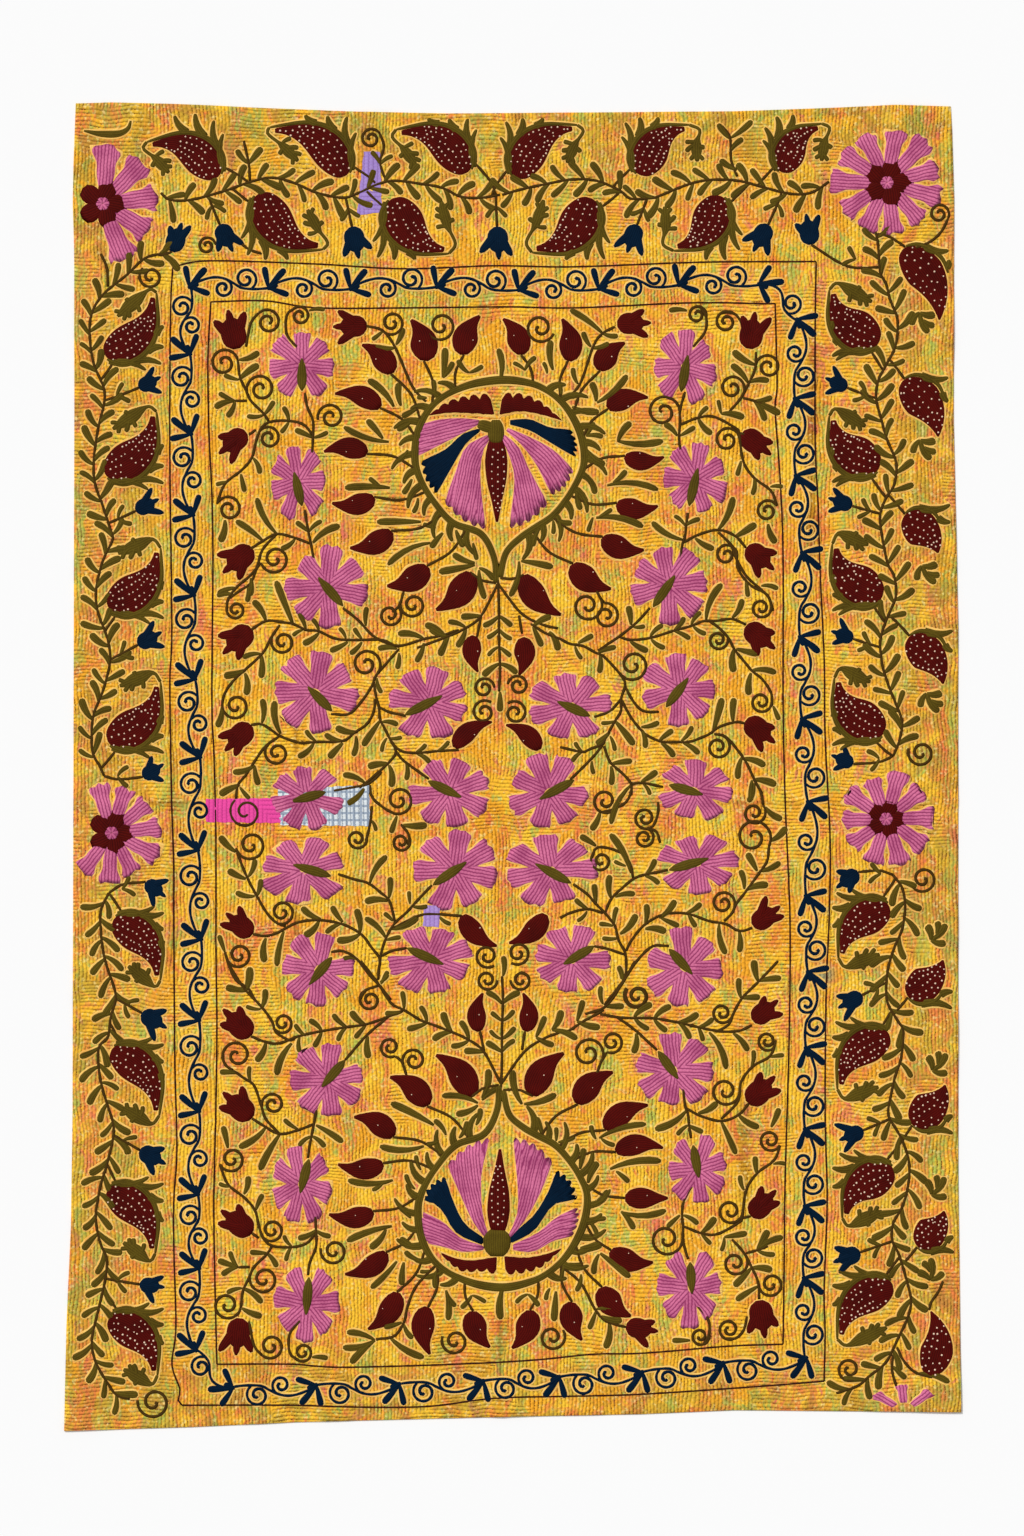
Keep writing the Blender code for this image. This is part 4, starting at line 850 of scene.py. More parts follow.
# Pairs of leaves along a vine every so many steps, tips swung the pair's angle from the vine.
def addLeafPairs(path, toward, spacing=19.0):
    at = np.arange(spacing * 0.5, wayAlong(path)[-1] - 4, spacing)
    base, way = readAlong(path, path, at), readAlong(path, np.gradient(path, axis=0), at)
    angle = np.arctan2(way[:, 1], way[:, 0]) + (0 if toward > 0 else pi)
    order = np.arange(len(at))
    rows = []
    for side in (-1, 1):
        swing = side * (0.80 + 0.16 * np.sin(order * 2.1 + side))
        length = 21.5 + 2.5 * np.sin(order * 1.3 + side * 2)
        lag = base + headed(angle) * (side * 1.5)
        tip = lag + headed(angle + swing) * length[:, None]
        rows.append(np.concatenate([lag, tip], 1))
    addLeaves(np.concatenate(rows))


borderPaths = []
for toward, row in borderVines:
    path = smoothPath(row)
    borderPaths.append(path)
    addStem(path)
    addLeafPairs(path, toward)
for row in borderCurls:
    addCurl(row, borderPaths)
for row in borderTwigs:
    addStem(row)
addLeaves(borderLeaves)
for row, curl in zip(curlStems, stemCurls):
    path = smoothPath(row)
    addStem(path)
    addCurl(curl, [path[-2:]])


# A side stem from a motif's foot to the nearest vine, starting along the motif's own line.
def sideStem(foot, backward, reach):
    places = np.concatenate(borderPaths)
    foot, backward = np.asarray(foot, float), unit(np.asarray(backward, float))
    goal = places[int(np.argmin(spans(places - foot - backward * reach)))]
    middle = (foot + goal) / 2 + backward * 0.14 * np.hypot(*(goal - foot))
    addStem(smoothPath([foot, middle, goal]))
    return foot, goal


for row in borderTulips:
    foot, goal = sideStem(row[:2], (row[0] - row[4], row[1] - row[5]), 30)
    angle = np.arctan2(foot[1] - goal[1], foot[0] - goal[0])
    start = goal + (foot - goal) * 0.35
    addLeaves([(*start, *(start + 15 * headed(angle + swing))) for swing in (-0.75, 0.75)])
print("border vines")

# Shares of the length or of the round end's radius; limits and gaps are in chart steps.
paisley = {
    "size": 1.08, "widest": 0.29, "bulge": 0.36, "bendAt": 0.36, "taper": 0.85, "tail": 0.14,
    "heel": 0.75, "foot": 0.80, "gap": 1.5, "smallAbove": 300,
    "outerFrom": 900, "outerWidest": 0.36, "outerTaper": 1.25, "outerHeel": 0.3, "outerFoot": 0.95,
    "lobes": ((0.56, 1.25, 12), (0.66, 0.8, 13), (0.78, 0.6, 12), (0.84, -0.7, 10), (0.62, -1.3, 9)),
    "innerSteps": (0.58, 0.40, 0.22, 0.06), "outerSteps": (0.45, 0.15), "sweep": 31, "plume": (1.9, 1.15),
    "fringeHalf": 4.9, "room": (164, 832, 260), "bareBelow": 1330,
}


# Centre line, left normals and half widths of a paisley: a curve from its round end through its arched
# back to its tip, and a half ellipse followed by a taper for its half width.
def paisleyFrame(row, t):
    head, tip = np.array(row[:2], float), np.array(row[3:5], float)
    radius, back = row[2], row[7]
    run = tip - head
    length = np.hypot(*run)
    way = run / length
    left = np.array([way[1], -way[0]])
    outer = row[0] > paisley["outerFrom"]
    widest = paisley["outerWidest" if outer else "widest"]
    foot, heel = (paisley[name] for name in (("outerFoot", "outerHeel") if outer else ("foot", "heel")))
    start = head - way * radius * foot - left * back * radius * heel
    bend = head + way * length * paisley["bendAt"] + left * back * paisley["bulge"] * length
    t = np.asarray(t, float)[:, None]
    centre = (1 - t) ** 2 * start + 2 * t * (1 - t) * bend + t ** 2 * tip
    slope = (1 - t) * (bend - start) + t * (tip - bend)
    normal = -turnedLeft(unit(slope))
    s = t[:, 0]
    swell = np.sqrt(np.clip(1 - (1 - s / widest) ** 2, 0, None))
    rest = np.clip((s - widest) / (1 - widest), 0, 1)
    if outer:
        narrow = 1 - rest ** paisley["outerTaper"]
    else:
        narrow = paisley["tail"] + (1 - paisley["tail"]) * (0.5 + 0.5 * np.cos(pi * rest)) ** paisley["taper"]
    return centre, normal, radius * np.where(s < widest, swell, narrow)


# Places beside a paisley's back at shares of its length, and the normals there.
def besideBack(row, shares, away):
    centre, normal, half = paisleyFrame(row, shares)
    return centre + normal * (row[7] * (half + away))[:, None], normal


# Outline along the back, thinning to the tip, and the lobed leaf on the hooked end.
def addHook(row, way):
    tip, hook, small = np.array(row[3:5], float), np.array(row[5:7], float), row[1] < paisley["smallAbove"]
    beside, normal = besideBack(row, np.linspace(0.03, 0.97, 9), paisley["gap"])
    turned = tip + way * 4 + normal[-1] * row[7] * paisley["gap"]
    path = smoothPath([*beside, turned], 3.5)
    addStrips("olive", [path], [3.0 * (1 - np.linspace(0, 1, len(path))) ** 0.7 + 1.2], 5)
    crest = (tip + hook) / 2 + way * 12
    end = hook + (hook - tip) * (0.8 if small else 0.62) - way * (4 if small else 9)
    leaf = smoothPath([turned, crest, hook + way * 3, end], 3)
    begin = 0.42 if small else 0.22
    share = np.clip((np.linspace(0, 1, len(leaf)) - begin) / (1 - begin), 0, 1)
    addStrips("olive", [leaf], [1.8 + (4.4 if small else 6.0) * np.clip(np.sin(share * pi), 0, 1) ** 1.2], 7)
    slope, rows = unit(np.gradient(leaf, axis=0)), []
    for at, swing, size in paisley["lobes"]:
        k = int(at * (len(leaf) - 1))
        inner = np.sign(slope[k][0] * way[1] - slope[k][1] * way[0]) or 1
        angle = np.arctan2(slope[k][1], slope[k][0]) - swing * inner
        rows.append((*leaf[k], *(leaf[k] + size * headed(angle))))
    addLeaves(rows, half=2.8)


# Maroon fill, the hook, plumes along the back swept outwards, and a rind round the head's outer side.
def addPaisley(row):
    row = (*row[:2], row[2] * paisley["size"], *row[3:])
    head, tip, hook = (np.array(row[k:k + 2], float) for k in (0, 3, 5))
    radius, back = row[2], row[7]
    way = unit(tip - head)
    outer = row[0] > paisley["outerFrom"]
    centre, _, half = paisleyFrame(row, 0.004 + 0.985 * np.linspace(0, 1, 22) ** 1.35)
    addStrips("maroon", [centre], [np.maximum(half, 0.7)], 9, 1.0, 0.2)
    if outer:
        aside, base = np.array([way[1], -way[0]]), hook - way * 8
        leaves = ((base, 14, 0), (base, 0, 13), (base, 0, -13), (hook, 10, 8))
        addLeaves([(*start, *(hook + way * far + aside * out)) for start, far, out in leaves], half=4.2, bow=0.12)
    else:
        addHook(row, way)
    if row[1] > paisley["bareBelow"]:
        return knotRows(row)
    steps = np.array(paisley["outerSteps" if outer else "innerSteps"])
    base, normal = besideBack(row, steps, paisley["gap"])
    slope = turnedLeft(normal)
    slope = slope * np.sign((slope * way).sum(1))[:, None]
    sweep = radians(paisley["sweep"])
    length = radius * np.interp(steps, [0, 0.6], paisley["plume"])
    ends = base + (slope * np.cos(sweep) + normal * back * np.sin(sweep)) * length[:, None]
    # The plumes stay off the frame lines.
    left, right, low = paisley["room"]
    ends[:, 0] = np.clip(ends[:, 0], right if 800 < row[0] < 900 else 0, left if row[0] < 180 else 1000)
    ends[:, 1] = np.minimum(ends[:, 1], low if row[1] < 280 else 1500)
    addLeaves(np.concatenate([base, ends], 1), half=paisley["fringeHalf"], bow=0.12 * back, widths="plumeWidths")
    rind = smoothPath(besideBack(row, np.linspace(0.015, 0.5, 8), 1.6)[0], 3.5)
    addStrips("olive", [rind], [1.3 + 1.5 * np.sin(np.linspace(0, 1, len(rind)) * pi) ** 0.7], 5)
    sideStem(head - way * (radius + 1), -way, 20)
    return knotRows(row)


# Cream knots in rows along a paisley: rows at shares of its half width, an even step along them.
def knotRows(row):
    rng = np.random.default_rng(int(row[0] * 7 + row[1]))
    places = []
    for share in (-0.74, -0.38, 0.0, 0.38, 0.74):
        t = np.linspace(0.07, 0.93, 9 if row[0] > paisley["outerFrom"] else 14) + (0.03 if abs(share) == 0.38 else 0)
        centre, normal, half = paisleyFrame(row, t + rng.uniform(-0.010, 0.010, len(t)))
        spot = centre + normal * (half * share)[:, None] + rng.uniform(-0.9, 0.9, (len(t), 2))
        keep = (half > 9.0) | (abs(share) > 0.5) & (half > 5.5) | (share == 0) & (half > 2.6)
        keep &= rng.uniform(0, 1, len(t)) > 0.16 + 0.34 * np.clip(t - 0.5, 0, 1)
        keep &= half * (1 - abs(share)) > 1.3
        places.append(spot[keep])
    return np.concatenate(places)


knotPlaces = [addPaisley(row) for row in paisleyRows]
print("paisleys")

flowerLook = {"petals": 7, "stemGap": 1.22, "root": 0.12, "endHalf": 0.335, "waistHalf": 0.335, "spindleHalf": 5.6}


# A petal between two reaches from a middle: its half angle falls to a waist and widens to a ragged end.
def petalGrid(middle, sizes, angle, root, halfRoot, halfWaist, halfEnd, seed):
    rng = np.random.default_rng(seed)
    t = np.linspace(0, 1, 10)
    s = acrossSteps(9)
    halves = [halfRoot, halfWaist * 1.42, halfWaist * 1.06, halfEnd, halfEnd * 0.92]
    half = np.interp(t, [0, 0.38, 0.62, 0.92, 1.0], halves)
    long = 1 + 0.07 * rng.uniform(-1, 1)
    reach = root + (1 - root) * t
    edge = long + 0.045 * rng.uniform(-1, 1, len(s)) - 0.03 * np.abs(s) ** 3
    reach = reach[:, None] * (1 + (edge[None] - 1) * t[:, None] ** 3)
    turned = angle + half[:, None] * s[None] + 0.05 * rng.uniform(-1, 1) * t[:, None]
    x, y = middle[0] + sizes[0] * reach * np.cos(turned), middle[1] - sizes[1] * reach * np.sin(turned)
    return np.stack([x, y], -1)


# Seven petals round a middle with a gap at the stalk, and an olive spindle over them.
petals, spindles = [], []
for k, row in enumerate(flowerRows):
    stem = np.array(row[4:6], float)
    tip = np.array(row[6:8], float)
    first = np.arctan2(-(stem[1] - row[1]), stem[0] - row[0]) + flowerLook["stemGap"] / 2
    turn = (2 * pi - flowerLook["stemGap"]) / (flowerLook["petals"] - 1)
    for petal in range(flowerLook["petals"]):
        petals.append(petalGrid(row[:2], row[2:4], first + petal * turn, flowerLook["root"], 1.0,
                                flowerLook["waistHalf"], flowerLook["endHalf"], 31 * k + petal))
    spindles.append((*stem, *tip))
addPads("pink", petals)


# Almonds, bowed or straight: half widths rise to the middle and fall to both ends.
def addAlmonds(colour, rows, halves, widths, rise=1.0, bow=0.0):
    rows = np.asarray(rows, float)
    base, bend = rows[:, :2], np.broadcast_to(bow, len(rows))[:, None]
    path = bowedPaths(base, rows[:, 2:4] - base, bend, np.linspace(0, 1, len(widths)))
    addStrips(colour, path, np.asarray(halves, float)[:, None] * np.asarray(widths), 7, rise, 0.4)


spindleWidths = (0.12, 0.62, 0.88, 1.0, 0.97, 0.86, 0.66, 0.40, 0.14)
addAlmonds("olive", spindles, np.full(len(spindles), flowerLook["spindleHalf"]), spindleWidths, 1.75)
budWidths = (0.34, 0.78, 0.97, 1.08, 1.12, 1.08, 0.97, 0.80, 0.60, 0.42, 0.28, 0.13)
buds = np.array(budRows, float)
budRun = buds[:, 2:4] - buds[:, :2]
addAlmonds("maroon", buds, buds[:, 4] * 1.05, budWidths, 1.0, 0.13 * np.sign(budRun[:, 0] * budRun[:, 1]))
budKnots = buds[:, :2] + budRun * 0.45 + 3 * np.sin(buds[:, 2:4])


# Tulips: a cup that is widest a third of the way out and three lobes from inside it to their tips.
def addTulips(colour, rows):
    rows = np.array(rows, float)
    base, middle = rows[:, :2], rows[:, 4:6]
    run = middle - base
    length = np.hypot(*run.T)
    t = np.linspace(0, 0.80, 9)
    widths = np.array([0.10, 0.25, 0.31, 0.33, 0.335, 0.32, 0.29, 0.22, 0.08])
    addStrips(colour, base[:, None] + run[:, None] * t[None, :, None], length[:, None] * widths[None], 9, 1.0)
    for tips, wide in ((rows[:, 2:4], 0.135), (middle, 0.115), (rows[:, 6:8], 0.135)):
        start = base + run * 0.30 + (tips - middle) * 0.12
        reach = tips - start
        t = np.linspace(0, 1.0, 8)
        bulge = np.array([1.2, 1.3, 1.3, 1.2, 1.1, 1.0, 0.82, 0.36])
        path = start[:, None] + reach[:, None] * t[None, :, None]
        addStrips(colour, path, length[:, None] * wide * bulge[None], 5, 1.04)


addTulips("maroon", fieldTulips)
addTulips("navy", borderTulips)

# Rosettes: petals round a lobed disc with a pale middle.
rosettePetals = []
for k, (x, y, radius, disc, first, step, count) in enumerate(rosetteRows):
    halves = [abs(radians(step)) * share for share in (0.56, 0.33, 0.45)]
    for petal in range(count):
        angle = radians(first + step * petal)
        shape = (disc * 0.72 / radius, *halves)
        rosettePetals.append(petalGrid((x, y), (radius, radius), angle, *shape, 911 * k + petal))
# The flower that the hem cuts off at the bottom right.
for k, angle in enumerate((2.45, 1.62, 0.80)):
    rosettePetals.append(petalGrid((904, 1411), (36, 27), angle, 0.33, 0.30, 0.16, 0.21, 77 + k))
addPads("pink", rosettePetals)


# A disc of lobes: each is a fan of places from the middle outwards, its rim falling off to both sides.
def addDisc(colour, middle, radius, lobes, depth, rise=1.0):
    lobe = 2 * pi / lobes
    for k in range(lobes):
        angle = k * lobe
        t = np.linspace(0, 1, 6)
        s = acrossSteps(7)
        half = np.interp(t, [0, 0.5, 0.85, 1], [0.9, lobe * 0.62, lobe * 0.5, lobe * 0.42])
        reach = radius * (0.04 + 0.96 * t[:, None] * (1 - depth * np.abs(s[None]) ** 3 * t[:, None]))
        turned = angle + half[:, None] * s[None]
        grid = np.stack([middle[0] + reach * np.cos(turned), middle[1] - reach * np.sin(turned)], -1)
        addPads(colour, grid[None], rise)


for x, y, radius, disc, *_ in rosetteRows:
    addDisc("maroon", (x, y), disc * 1.22, 5, 0.30)
    addDisc("pink", (x, y), 7, 6, 0.0, 1.7)


# Scallops of a fan's far end and of a wing's edge: how many, and how deep as a share.
fan = {"lobes": 5, "depth": 0.075, "puff": 0.07, "wingLobes": 6, "wingDepth": 0.24}


# Places at shares of the way along an edge.
def spread(points, shares):
    path = smoothPath(points, 2)
    return readAlong(path, path, shares * wayAlong(path)[-1])


# A fan between its two long edges: the far end is scalloped, or one long edge for a maroon wing.
def addFan(colour, one, two):
    wing = colour == "maroon"
    t, s = np.linspace(0, 1, 25 if wing else 9), np.linspace(0, 1, 9 if wing else 25)
    first, second = spread(one, t), spread(two, t)
    if wing:
        dent = fan["wingDepth"] * (1 - np.abs(np.sin(pi * t * fan["wingLobes"])) ** 0.7)
        second = second + (first - second) * dent[:, None]
    grid = first[:, None] * (1 - s)[None, :, None] + second[:, None] * s[None, :, None]
    if not wing:
        dent = fan["depth"] * (1 - np.abs(np.sin(pi * s * fan["lobes"])) ** 0.7)
        way = unit(grid[-1] - grid[-4]) * spans(grid[-1] - grid[0])[:, None]
        grid = grid + way[None] * (fan["puff"] * np.sin(pi * s) - dent)[None, :, None] * (t ** 3)[:, None, None]
    addPads(colour, grid[None], 1.15)


for row in fanRows:
    addFan(*row)
# The blades in the middle of the fans and the olive cups at their roots.
bladeRows = [(496, 438, 497, 522), (498, 1233, 500, 1149)]
bladeWidths = (0.55, 0.78, 0.92, 1.0, 0.98, 0.92, 0.82, 0.66, 0.5, 0.36, 0.24, 0.12)
addAlmonds("maroon", bladeRows, [12.0, 12.0], bladeWidths, 2.0)
cupRows, cupWidths = [(496, 444, 496, 420), (497, 1229, 497, 1256)], (0.5, 0.85, 1.0, 1.0, 0.95, 0.8, 0.5)
addAlmonds("olive", cupRows, [8.5, 14.5], cupWidths, 2.6)
addAlmonds("olive", [(478, 424, 498, 430)], [6.0], (0.6, 0.9, 1.0, 1.0, 0.9, 0.8, 0.5), 2.3)
bow = np.sin(np.linspace(0.8, 2.8, 9))
bladeKnots = [np.stack([498 + side * 6.2 * bow, np.linspace(top, low, 9) + 3 * (side == 0)], -1)
              for side in (-1, 0, 1) for top, low in ((450, 508), (1221, 1166))]

# The lying leaf in the top left corner.
cornerLeaf = smoothPath((84, 131, 100, 134, 118, 134, 128, 129, 131, 121), 3)
addStrips("olive", [cornerLeaf], [1.0 + 3.2 * np.sin(np.linspace(0.1, 3.0, len(cornerLeaf))) ** 1.2], 5)

ringPaths = [smoothPath(row, 4) for row in (ringRow, mirroredRow(ringRow))]
for path in ringPaths:
    t = np.linspace(0, 1, len(path))
    addStrips("olive", [path], [3.7 + 1.3 * np.sin(t * pi * 5) ** 2 * np.sin(t * pi)], 5)

# Stems from the buds to the ring: each meets it a little nearer the ring's open end than the
# nearest place, so that it sweeps outwards.
for x, y, *_ in budRows:
    path = ringPaths[int(y < 834)]
    middle = path.mean(0)
    foot = np.array([x, y], float)
    if not 70 < np.hypot(*(foot - middle)) < 175 or abs(y - 834) < 215:
        continue
    k = int(np.argmin(np.hypot(*(path - foot).T)))
    onward = -1 if k < len(path) / 2 else 1
    goal = path[int(np.clip(k + onward * 4, 0, len(path) - 1))]
    across = (goal - foot)[::-1] * (1, -1)
    bend = (foot + goal) / 2 + across * 0.11 * (1 if across[1] * (y - middle[1]) > 0 else -1)
    addStem([*foot, *bend, *goal])

# Plumes on the ring's outer side, swept towards its open end, shorter ones between longer ones.
for path in ringPaths:
    middle = path.mean(0)
    slope = unit(np.gradient(path, axis=0))
    rows, bows = [], []
    for k in range(5, len(path) - 5, 4):
        outward = (path[k] - middle) / np.hypot(*(path[k] - middle))
        if abs(outward[0]) < 0.4:
            continue
        ahead = -slope[k] if k < len(path) / 2 else slope[k]
        way = outward + ahead * 0.85
        size = 28 if k % 8 < 4 else 19
        rows.append((*path[k], *(path[k] + way / np.hypot(*way) * size)))
        bows.append(0.16 * np.sign(way[0] * outward[1] - way[1] * outward[0]))
    addLeaves(rows, half=4.5, bow=np.array(bows), widths="plumeWidths")

# Frame lines: smooth from corner to corner, a corner being a turn of more than so many radians.
frameLook = {"half": 1.05, "rise": 0.7, "stationStep": 6, "corner": 0.9}
for row in (outerLine, innerLine):
    places = asPlaces(row)
    way = np.arctan2(*np.diff(places, axis=0).T[::-1])
    turn = np.abs((np.diff(way) + pi) % (2 * pi) - pi)
    cuts = [0, *(np.nonzero(turn > frameLook["corner"])[0] + 1), len(places) - 1]
    for one, two in zip(cuts[:-1], cuts[1:]):
        addLine("brown", places[one:two + 1], frameLook["half"], frameLook["rise"], frameLook["stationStep"])

# Scroll band in steps of 81 along a sprig's unit: forward and outward places of its line.
scroll = {
    "unit": 81.0, "half": 1.77, "curlTurns": 1.45,
    "line": (0, 0, 7, 5, 21, 9.5, 33, 9, 44, 4, 52, -0.5, 64, -1.5, 74, -1, 81, 0),
    "inner": (33, -1.0, 33, 8.6, 1), "outer": (56, 8.5, 62, -1.2, -1),
    "prongs": ((-6, 21), (15, 19), (19, -7)),
}


# One unit of the band from a sprig to the next: the line, two curls and the sprig's three prongs.
def addScrollUnit(here, there):
    run = there - here
    length = np.hypot(*run)
    forward = run / length
    outward = np.array([forward[1], -forward[0]])
    share = length / scroll["unit"]

    def placed(row):
        row = np.asarray(row, float)
        return here + forward * (row[..., :1] * share) + outward * row[..., 1:2]

    addLine("navy", placed(asPlaces(scroll["line"])), scroll["half"])
    # A short unit has no room for the inner curl.
    curls = (scroll["outer"],) if length < 60 else (scroll["inner"], scroll["outer"])
    for curl in curls:
        path = curlPath(placed(curl[:2]), placed(curl[2:4]), scroll["curlTurns"], curl[4])
        addLine("navy", path, scroll["half"] * 0.95, 0.9, 2.2, 1.35)
    rows = [(*(here - forward * 1.5), *(here + forward * f + outward * o)) for f, o in scroll["prongs"]]
    addLeaves(rows, "navy", half=3.7, bow=0.0)
    heel, toe = here - forward * 3 - outward * 1.5, here + forward * 7 + outward * 5
    addLeaves([(*heel, *toe)], "navy", half=4.6, bow=0.0)


sprigs = asPlaces(sprigRow)
for k in range(len(sprigs)):
    addScrollUnit(sprigs[k], sprigs[(k + 1) % len(sprigs)])
print("scroll band")


# Knots: small domes, a ring of six below and one of six near the top.
def addDomes(colour, places, radius, rise):
    places = toMetres(places)
    count = len(places)
    rng = np.random.default_rng(5)
    size = radius * chart["step"] * rng.uniform(0.75, 1.15, count)
    circle = headed(np.arange(6) * pi / 3)
    low = places[:, None] + circle[None] * size[:, None, None]
    high = places[:, None] + circle[None] * size[:, None, None] * 0.62
    base = topAt(places[:, 0], places[:, 1])[:, None] + np.zeros((1, 6))
    verts = np.concatenate([
        np.concatenate([low, (base + 0.0004)[..., None]], -1),
        np.concatenate([high, (base + rise)[..., None]], -1),
    ], 1)
    ring = np.arange(6)
    after = (ring + 1) % 6
    template = np.concatenate([np.stack([ring, after, after + 6, ring + 6], -1).ravel(), ring + 6, ring[::-1]])
    corners = (np.arange(count)[:, None] * 12 + template[None]).ravel()
    sizes = np.tile([4] * 6 + [6, 6], count)
    verts = verts.reshape(-1, 3)
    shapes[colour].append((verts, corners, sizes, verts[:, :2]))


addDomes("cream", np.concatenate(knotPlaces), 1.12, 0.0018)
addDomes("cream", budKnots, 0.75, 0.0017)
addDomes("cream", np.concatenate(bladeKnots), 1.15, 0.0030)
print("knots")


# Numbers from 0 to 255 as the shader's linear colour.
def tint(red, green, blue):
    value = np.array([red, green, blue]) / 255
    linear = np.where(value <= 0.04045, value / 12.92, ((value + 0.055) / 1.055) ** 2.4)
    return (*linear, 1.0)


# A node with its settings; each input is a constant or the socket that feeds it.
def newNode(tree, kind, inputs=None, **settings):
    node = tree.nodes.new(kind)
    for key, value in settings.items():
        setattr(node, key, value)
    for key, value in (inputs or {}).items():
        if isinstance(value, bpy.types.NodeSocket):
            tree.links.new(value, node.inputs[key])
        else:
            node.inputs[key].default_value = value
    return node


# The result of one sum on sockets or numbers.
def maths(tree, operation, *values, clamp=False):
    node = newNode(tree, "ShaderNodeMath", dict(enumerate(values)), operation=operation, use_clamp=clamp)
    return node.outputs[0]


# Two colours mixed by a factor.
def mixed(tree, factor, one, two):
    inputs = {0: factor, 6: one, 7: two}
    return newNode(tree, "ShaderNodeMix", inputs, data_type="RGBA").outputs[2]


# Values multiplied together.
def product(tree, *values):
    result = values[0]
    for value in values[1:]:
        result = maths(tree, "MULTIPLY", result, value)
    return result


# A row of humps: the size of the sine of pi times a value.
def humps(tree, value):
    return maths(tree, "ABSOLUTE", maths(tree, "SINE", maths(tree, "MULTIPLY", value, pi)))


# A value from one range to 0 to 1, smoothly.
def ramped(tree, value, low, high):
    node = newNode(tree, "ShaderNodeMapRange", {"Value": value, "From Min": low, "From Max": high},
                   interpolation_type="SMOOTHSTEP")
    return node.outputs[0]


# Noise at a scale, one value.
def noiseAt(tree, vector, scale, detail=2.0, rough=0.5):
    inputs = {"Vector": vector, "Scale": scale, "Detail": detail, "Roughness": rough}
    node = newNode(tree, "ShaderNodeTexNoise", inputs)
    return node.outputs[0]


# A node group with named inputs and outputs.
def newGroup(name, inputs, outputs):
    tree = bpy.data.node_groups.new(name, "ShaderNodeTree")
    for label, kind, value in inputs:
        socket = tree.interface.new_socket(label, in_out="INPUT", socket_type=kind)
        if value is not None:
            socket.default_value = value
    for label, kind in outputs:
        tree.interface.new_socket(label, in_out="OUTPUT", socket_type=kind)
    return tree, tree.nodes.new("NodeGroupInput").outputs, tree.nodes.new("NodeGroupOutput").inputs


# Chain stitch in rows: each row is a rounded ridge of loops, set half a loop on from its neighbour.
def stitchRowsGroup():
    tree, given, out = newGroup("stitchRows", [
        ("Vector", "NodeSocketVector", None), ("Row Pitch", "NodeSocketFloat", 0.004),
        ("Stitch Length", "NodeSocketFloat", 0.004),
    ], [("Height", "NodeSocketFloat")])
    warp = noiseAt(tree, given["Vector"], 60.0)
    parts = newNode(tree, "ShaderNodeSeparateXYZ", {0: given["Vector"]}).outputs
    across = maths(tree, "ADD", parts[1], maths(tree, "MULTIPLY", warp, 0.0035))
    cell = maths(tree, "DIVIDE", across, given["Row Pitch"])
    row = humps(tree, cell)
    shift = maths(tree, "MULTIPLY", maths(tree, "FLOOR", cell), 0.5)
    loop = maths(tree, "ADD", maths(tree, "DIVIDE", parts[0], given["Stitch Length"]), shift)
    stitch = humps(tree, loop)
    height = maths(tree, "MULTIPLY", row, maths(tree, "MULTIPLY_ADD", stitch, 0.4, 0.6))
    tree.links.new(height, out["Height"])
    return tree


# Running stitch: rows that wander up and down or across, with dips between the stitches; the first output is painted
# shade for the dips, the second their height.
def quiltGroup():
    tree, given, out = newGroup("quiltRows", [
        ("Vector", "NodeSocketVector", None), ("Row Pitch", "NodeSocketFloat", 0.005),
        ("Stitch Length", "NodeSocketFloat", 0.006), ("Wander", "NodeSocketFloat", 0.010),
    ], [("Dip Shade", "NodeSocketFloat"), ("Height", "NodeSocketFloat")])
    parts = newNode(tree, "ShaderNodeSeparateXYZ", {0: given["Vector"]}).outputs
    wander = maths(tree, "MULTIPLY", noiseAt(tree, given["Vector"], 9.0, 2.0), given["Wander"])
    results = []
    for across, along in ((parts[0], parts[1]), (parts[1], parts[0])):
        cell = maths(tree, "DIVIDE", maths(tree, "ADD", across, wander), given["Row Pitch"])
        row = humps(tree, cell)
        shift = maths(tree, "MULTIPLY", maths(tree, "FLOOR", cell), 0.43)
        loop = maths(tree, "ADD", maths(tree, "DIVIDE", along, given["Stitch Length"]), shift)
        stitch = humps(tree, loop)
        results.append((row, stitch))
    turn = ramped(tree, noiseAt(tree, given["Vector"], 6.0, 1.0), 0.54, 0.57)
    rows = [maths(tree, "SUBTRACT", 1.0, r) for r, s in results]
    # Painted shade in the valleys between the rows, at the stitches.
    marks = [maths(tree, "MULTIPLY", ramped(tree, r, 0.30, 0.75), ramped(tree, s, 0.10, 0.60))
             for r, (_, s) in zip(rows, results)]

    def chosen(one, two):
        gap = maths(tree, "SUBTRACT", two, one)
        return maths(tree, "MULTIPLY_ADD", gap, turn, one)

    tree.links.new(chosen(*marks), out["Dip Shade"])
    heights = [maths(tree, "MULTIPLY", r, maths(tree, "MULTIPLY_ADD", s, -0.45, 1.0)) for r, s in results]
    tree.links.new(chosen(*heights), out["Height"])
    return tree


stitchRows = stitchRowsGroup()
quiltRows = quiltGroup()


# An empty material with its shader.
def newMaterial(name, roughness):
    material = bpy.data.materials.new(name)
    material.use_nodes = True
    tree = material.node_tree
    shader = tree.nodes["Principled BSDF"]
    shader.inputs["Roughness"].default_value = roughness
    shader.inputs["Specular IOR Level"].default_value = 0.05
    return material, tree, shader


# Bump from a height onto a shader.
def addBump(tree, shader, height, strength, distance):
    bump = newNode(tree, "ShaderNodeBump", {"Height": height, "Strength": strength, "Distance": distance})
    tree.links.new(bump.outputs[0], shader.inputs["Normal"])
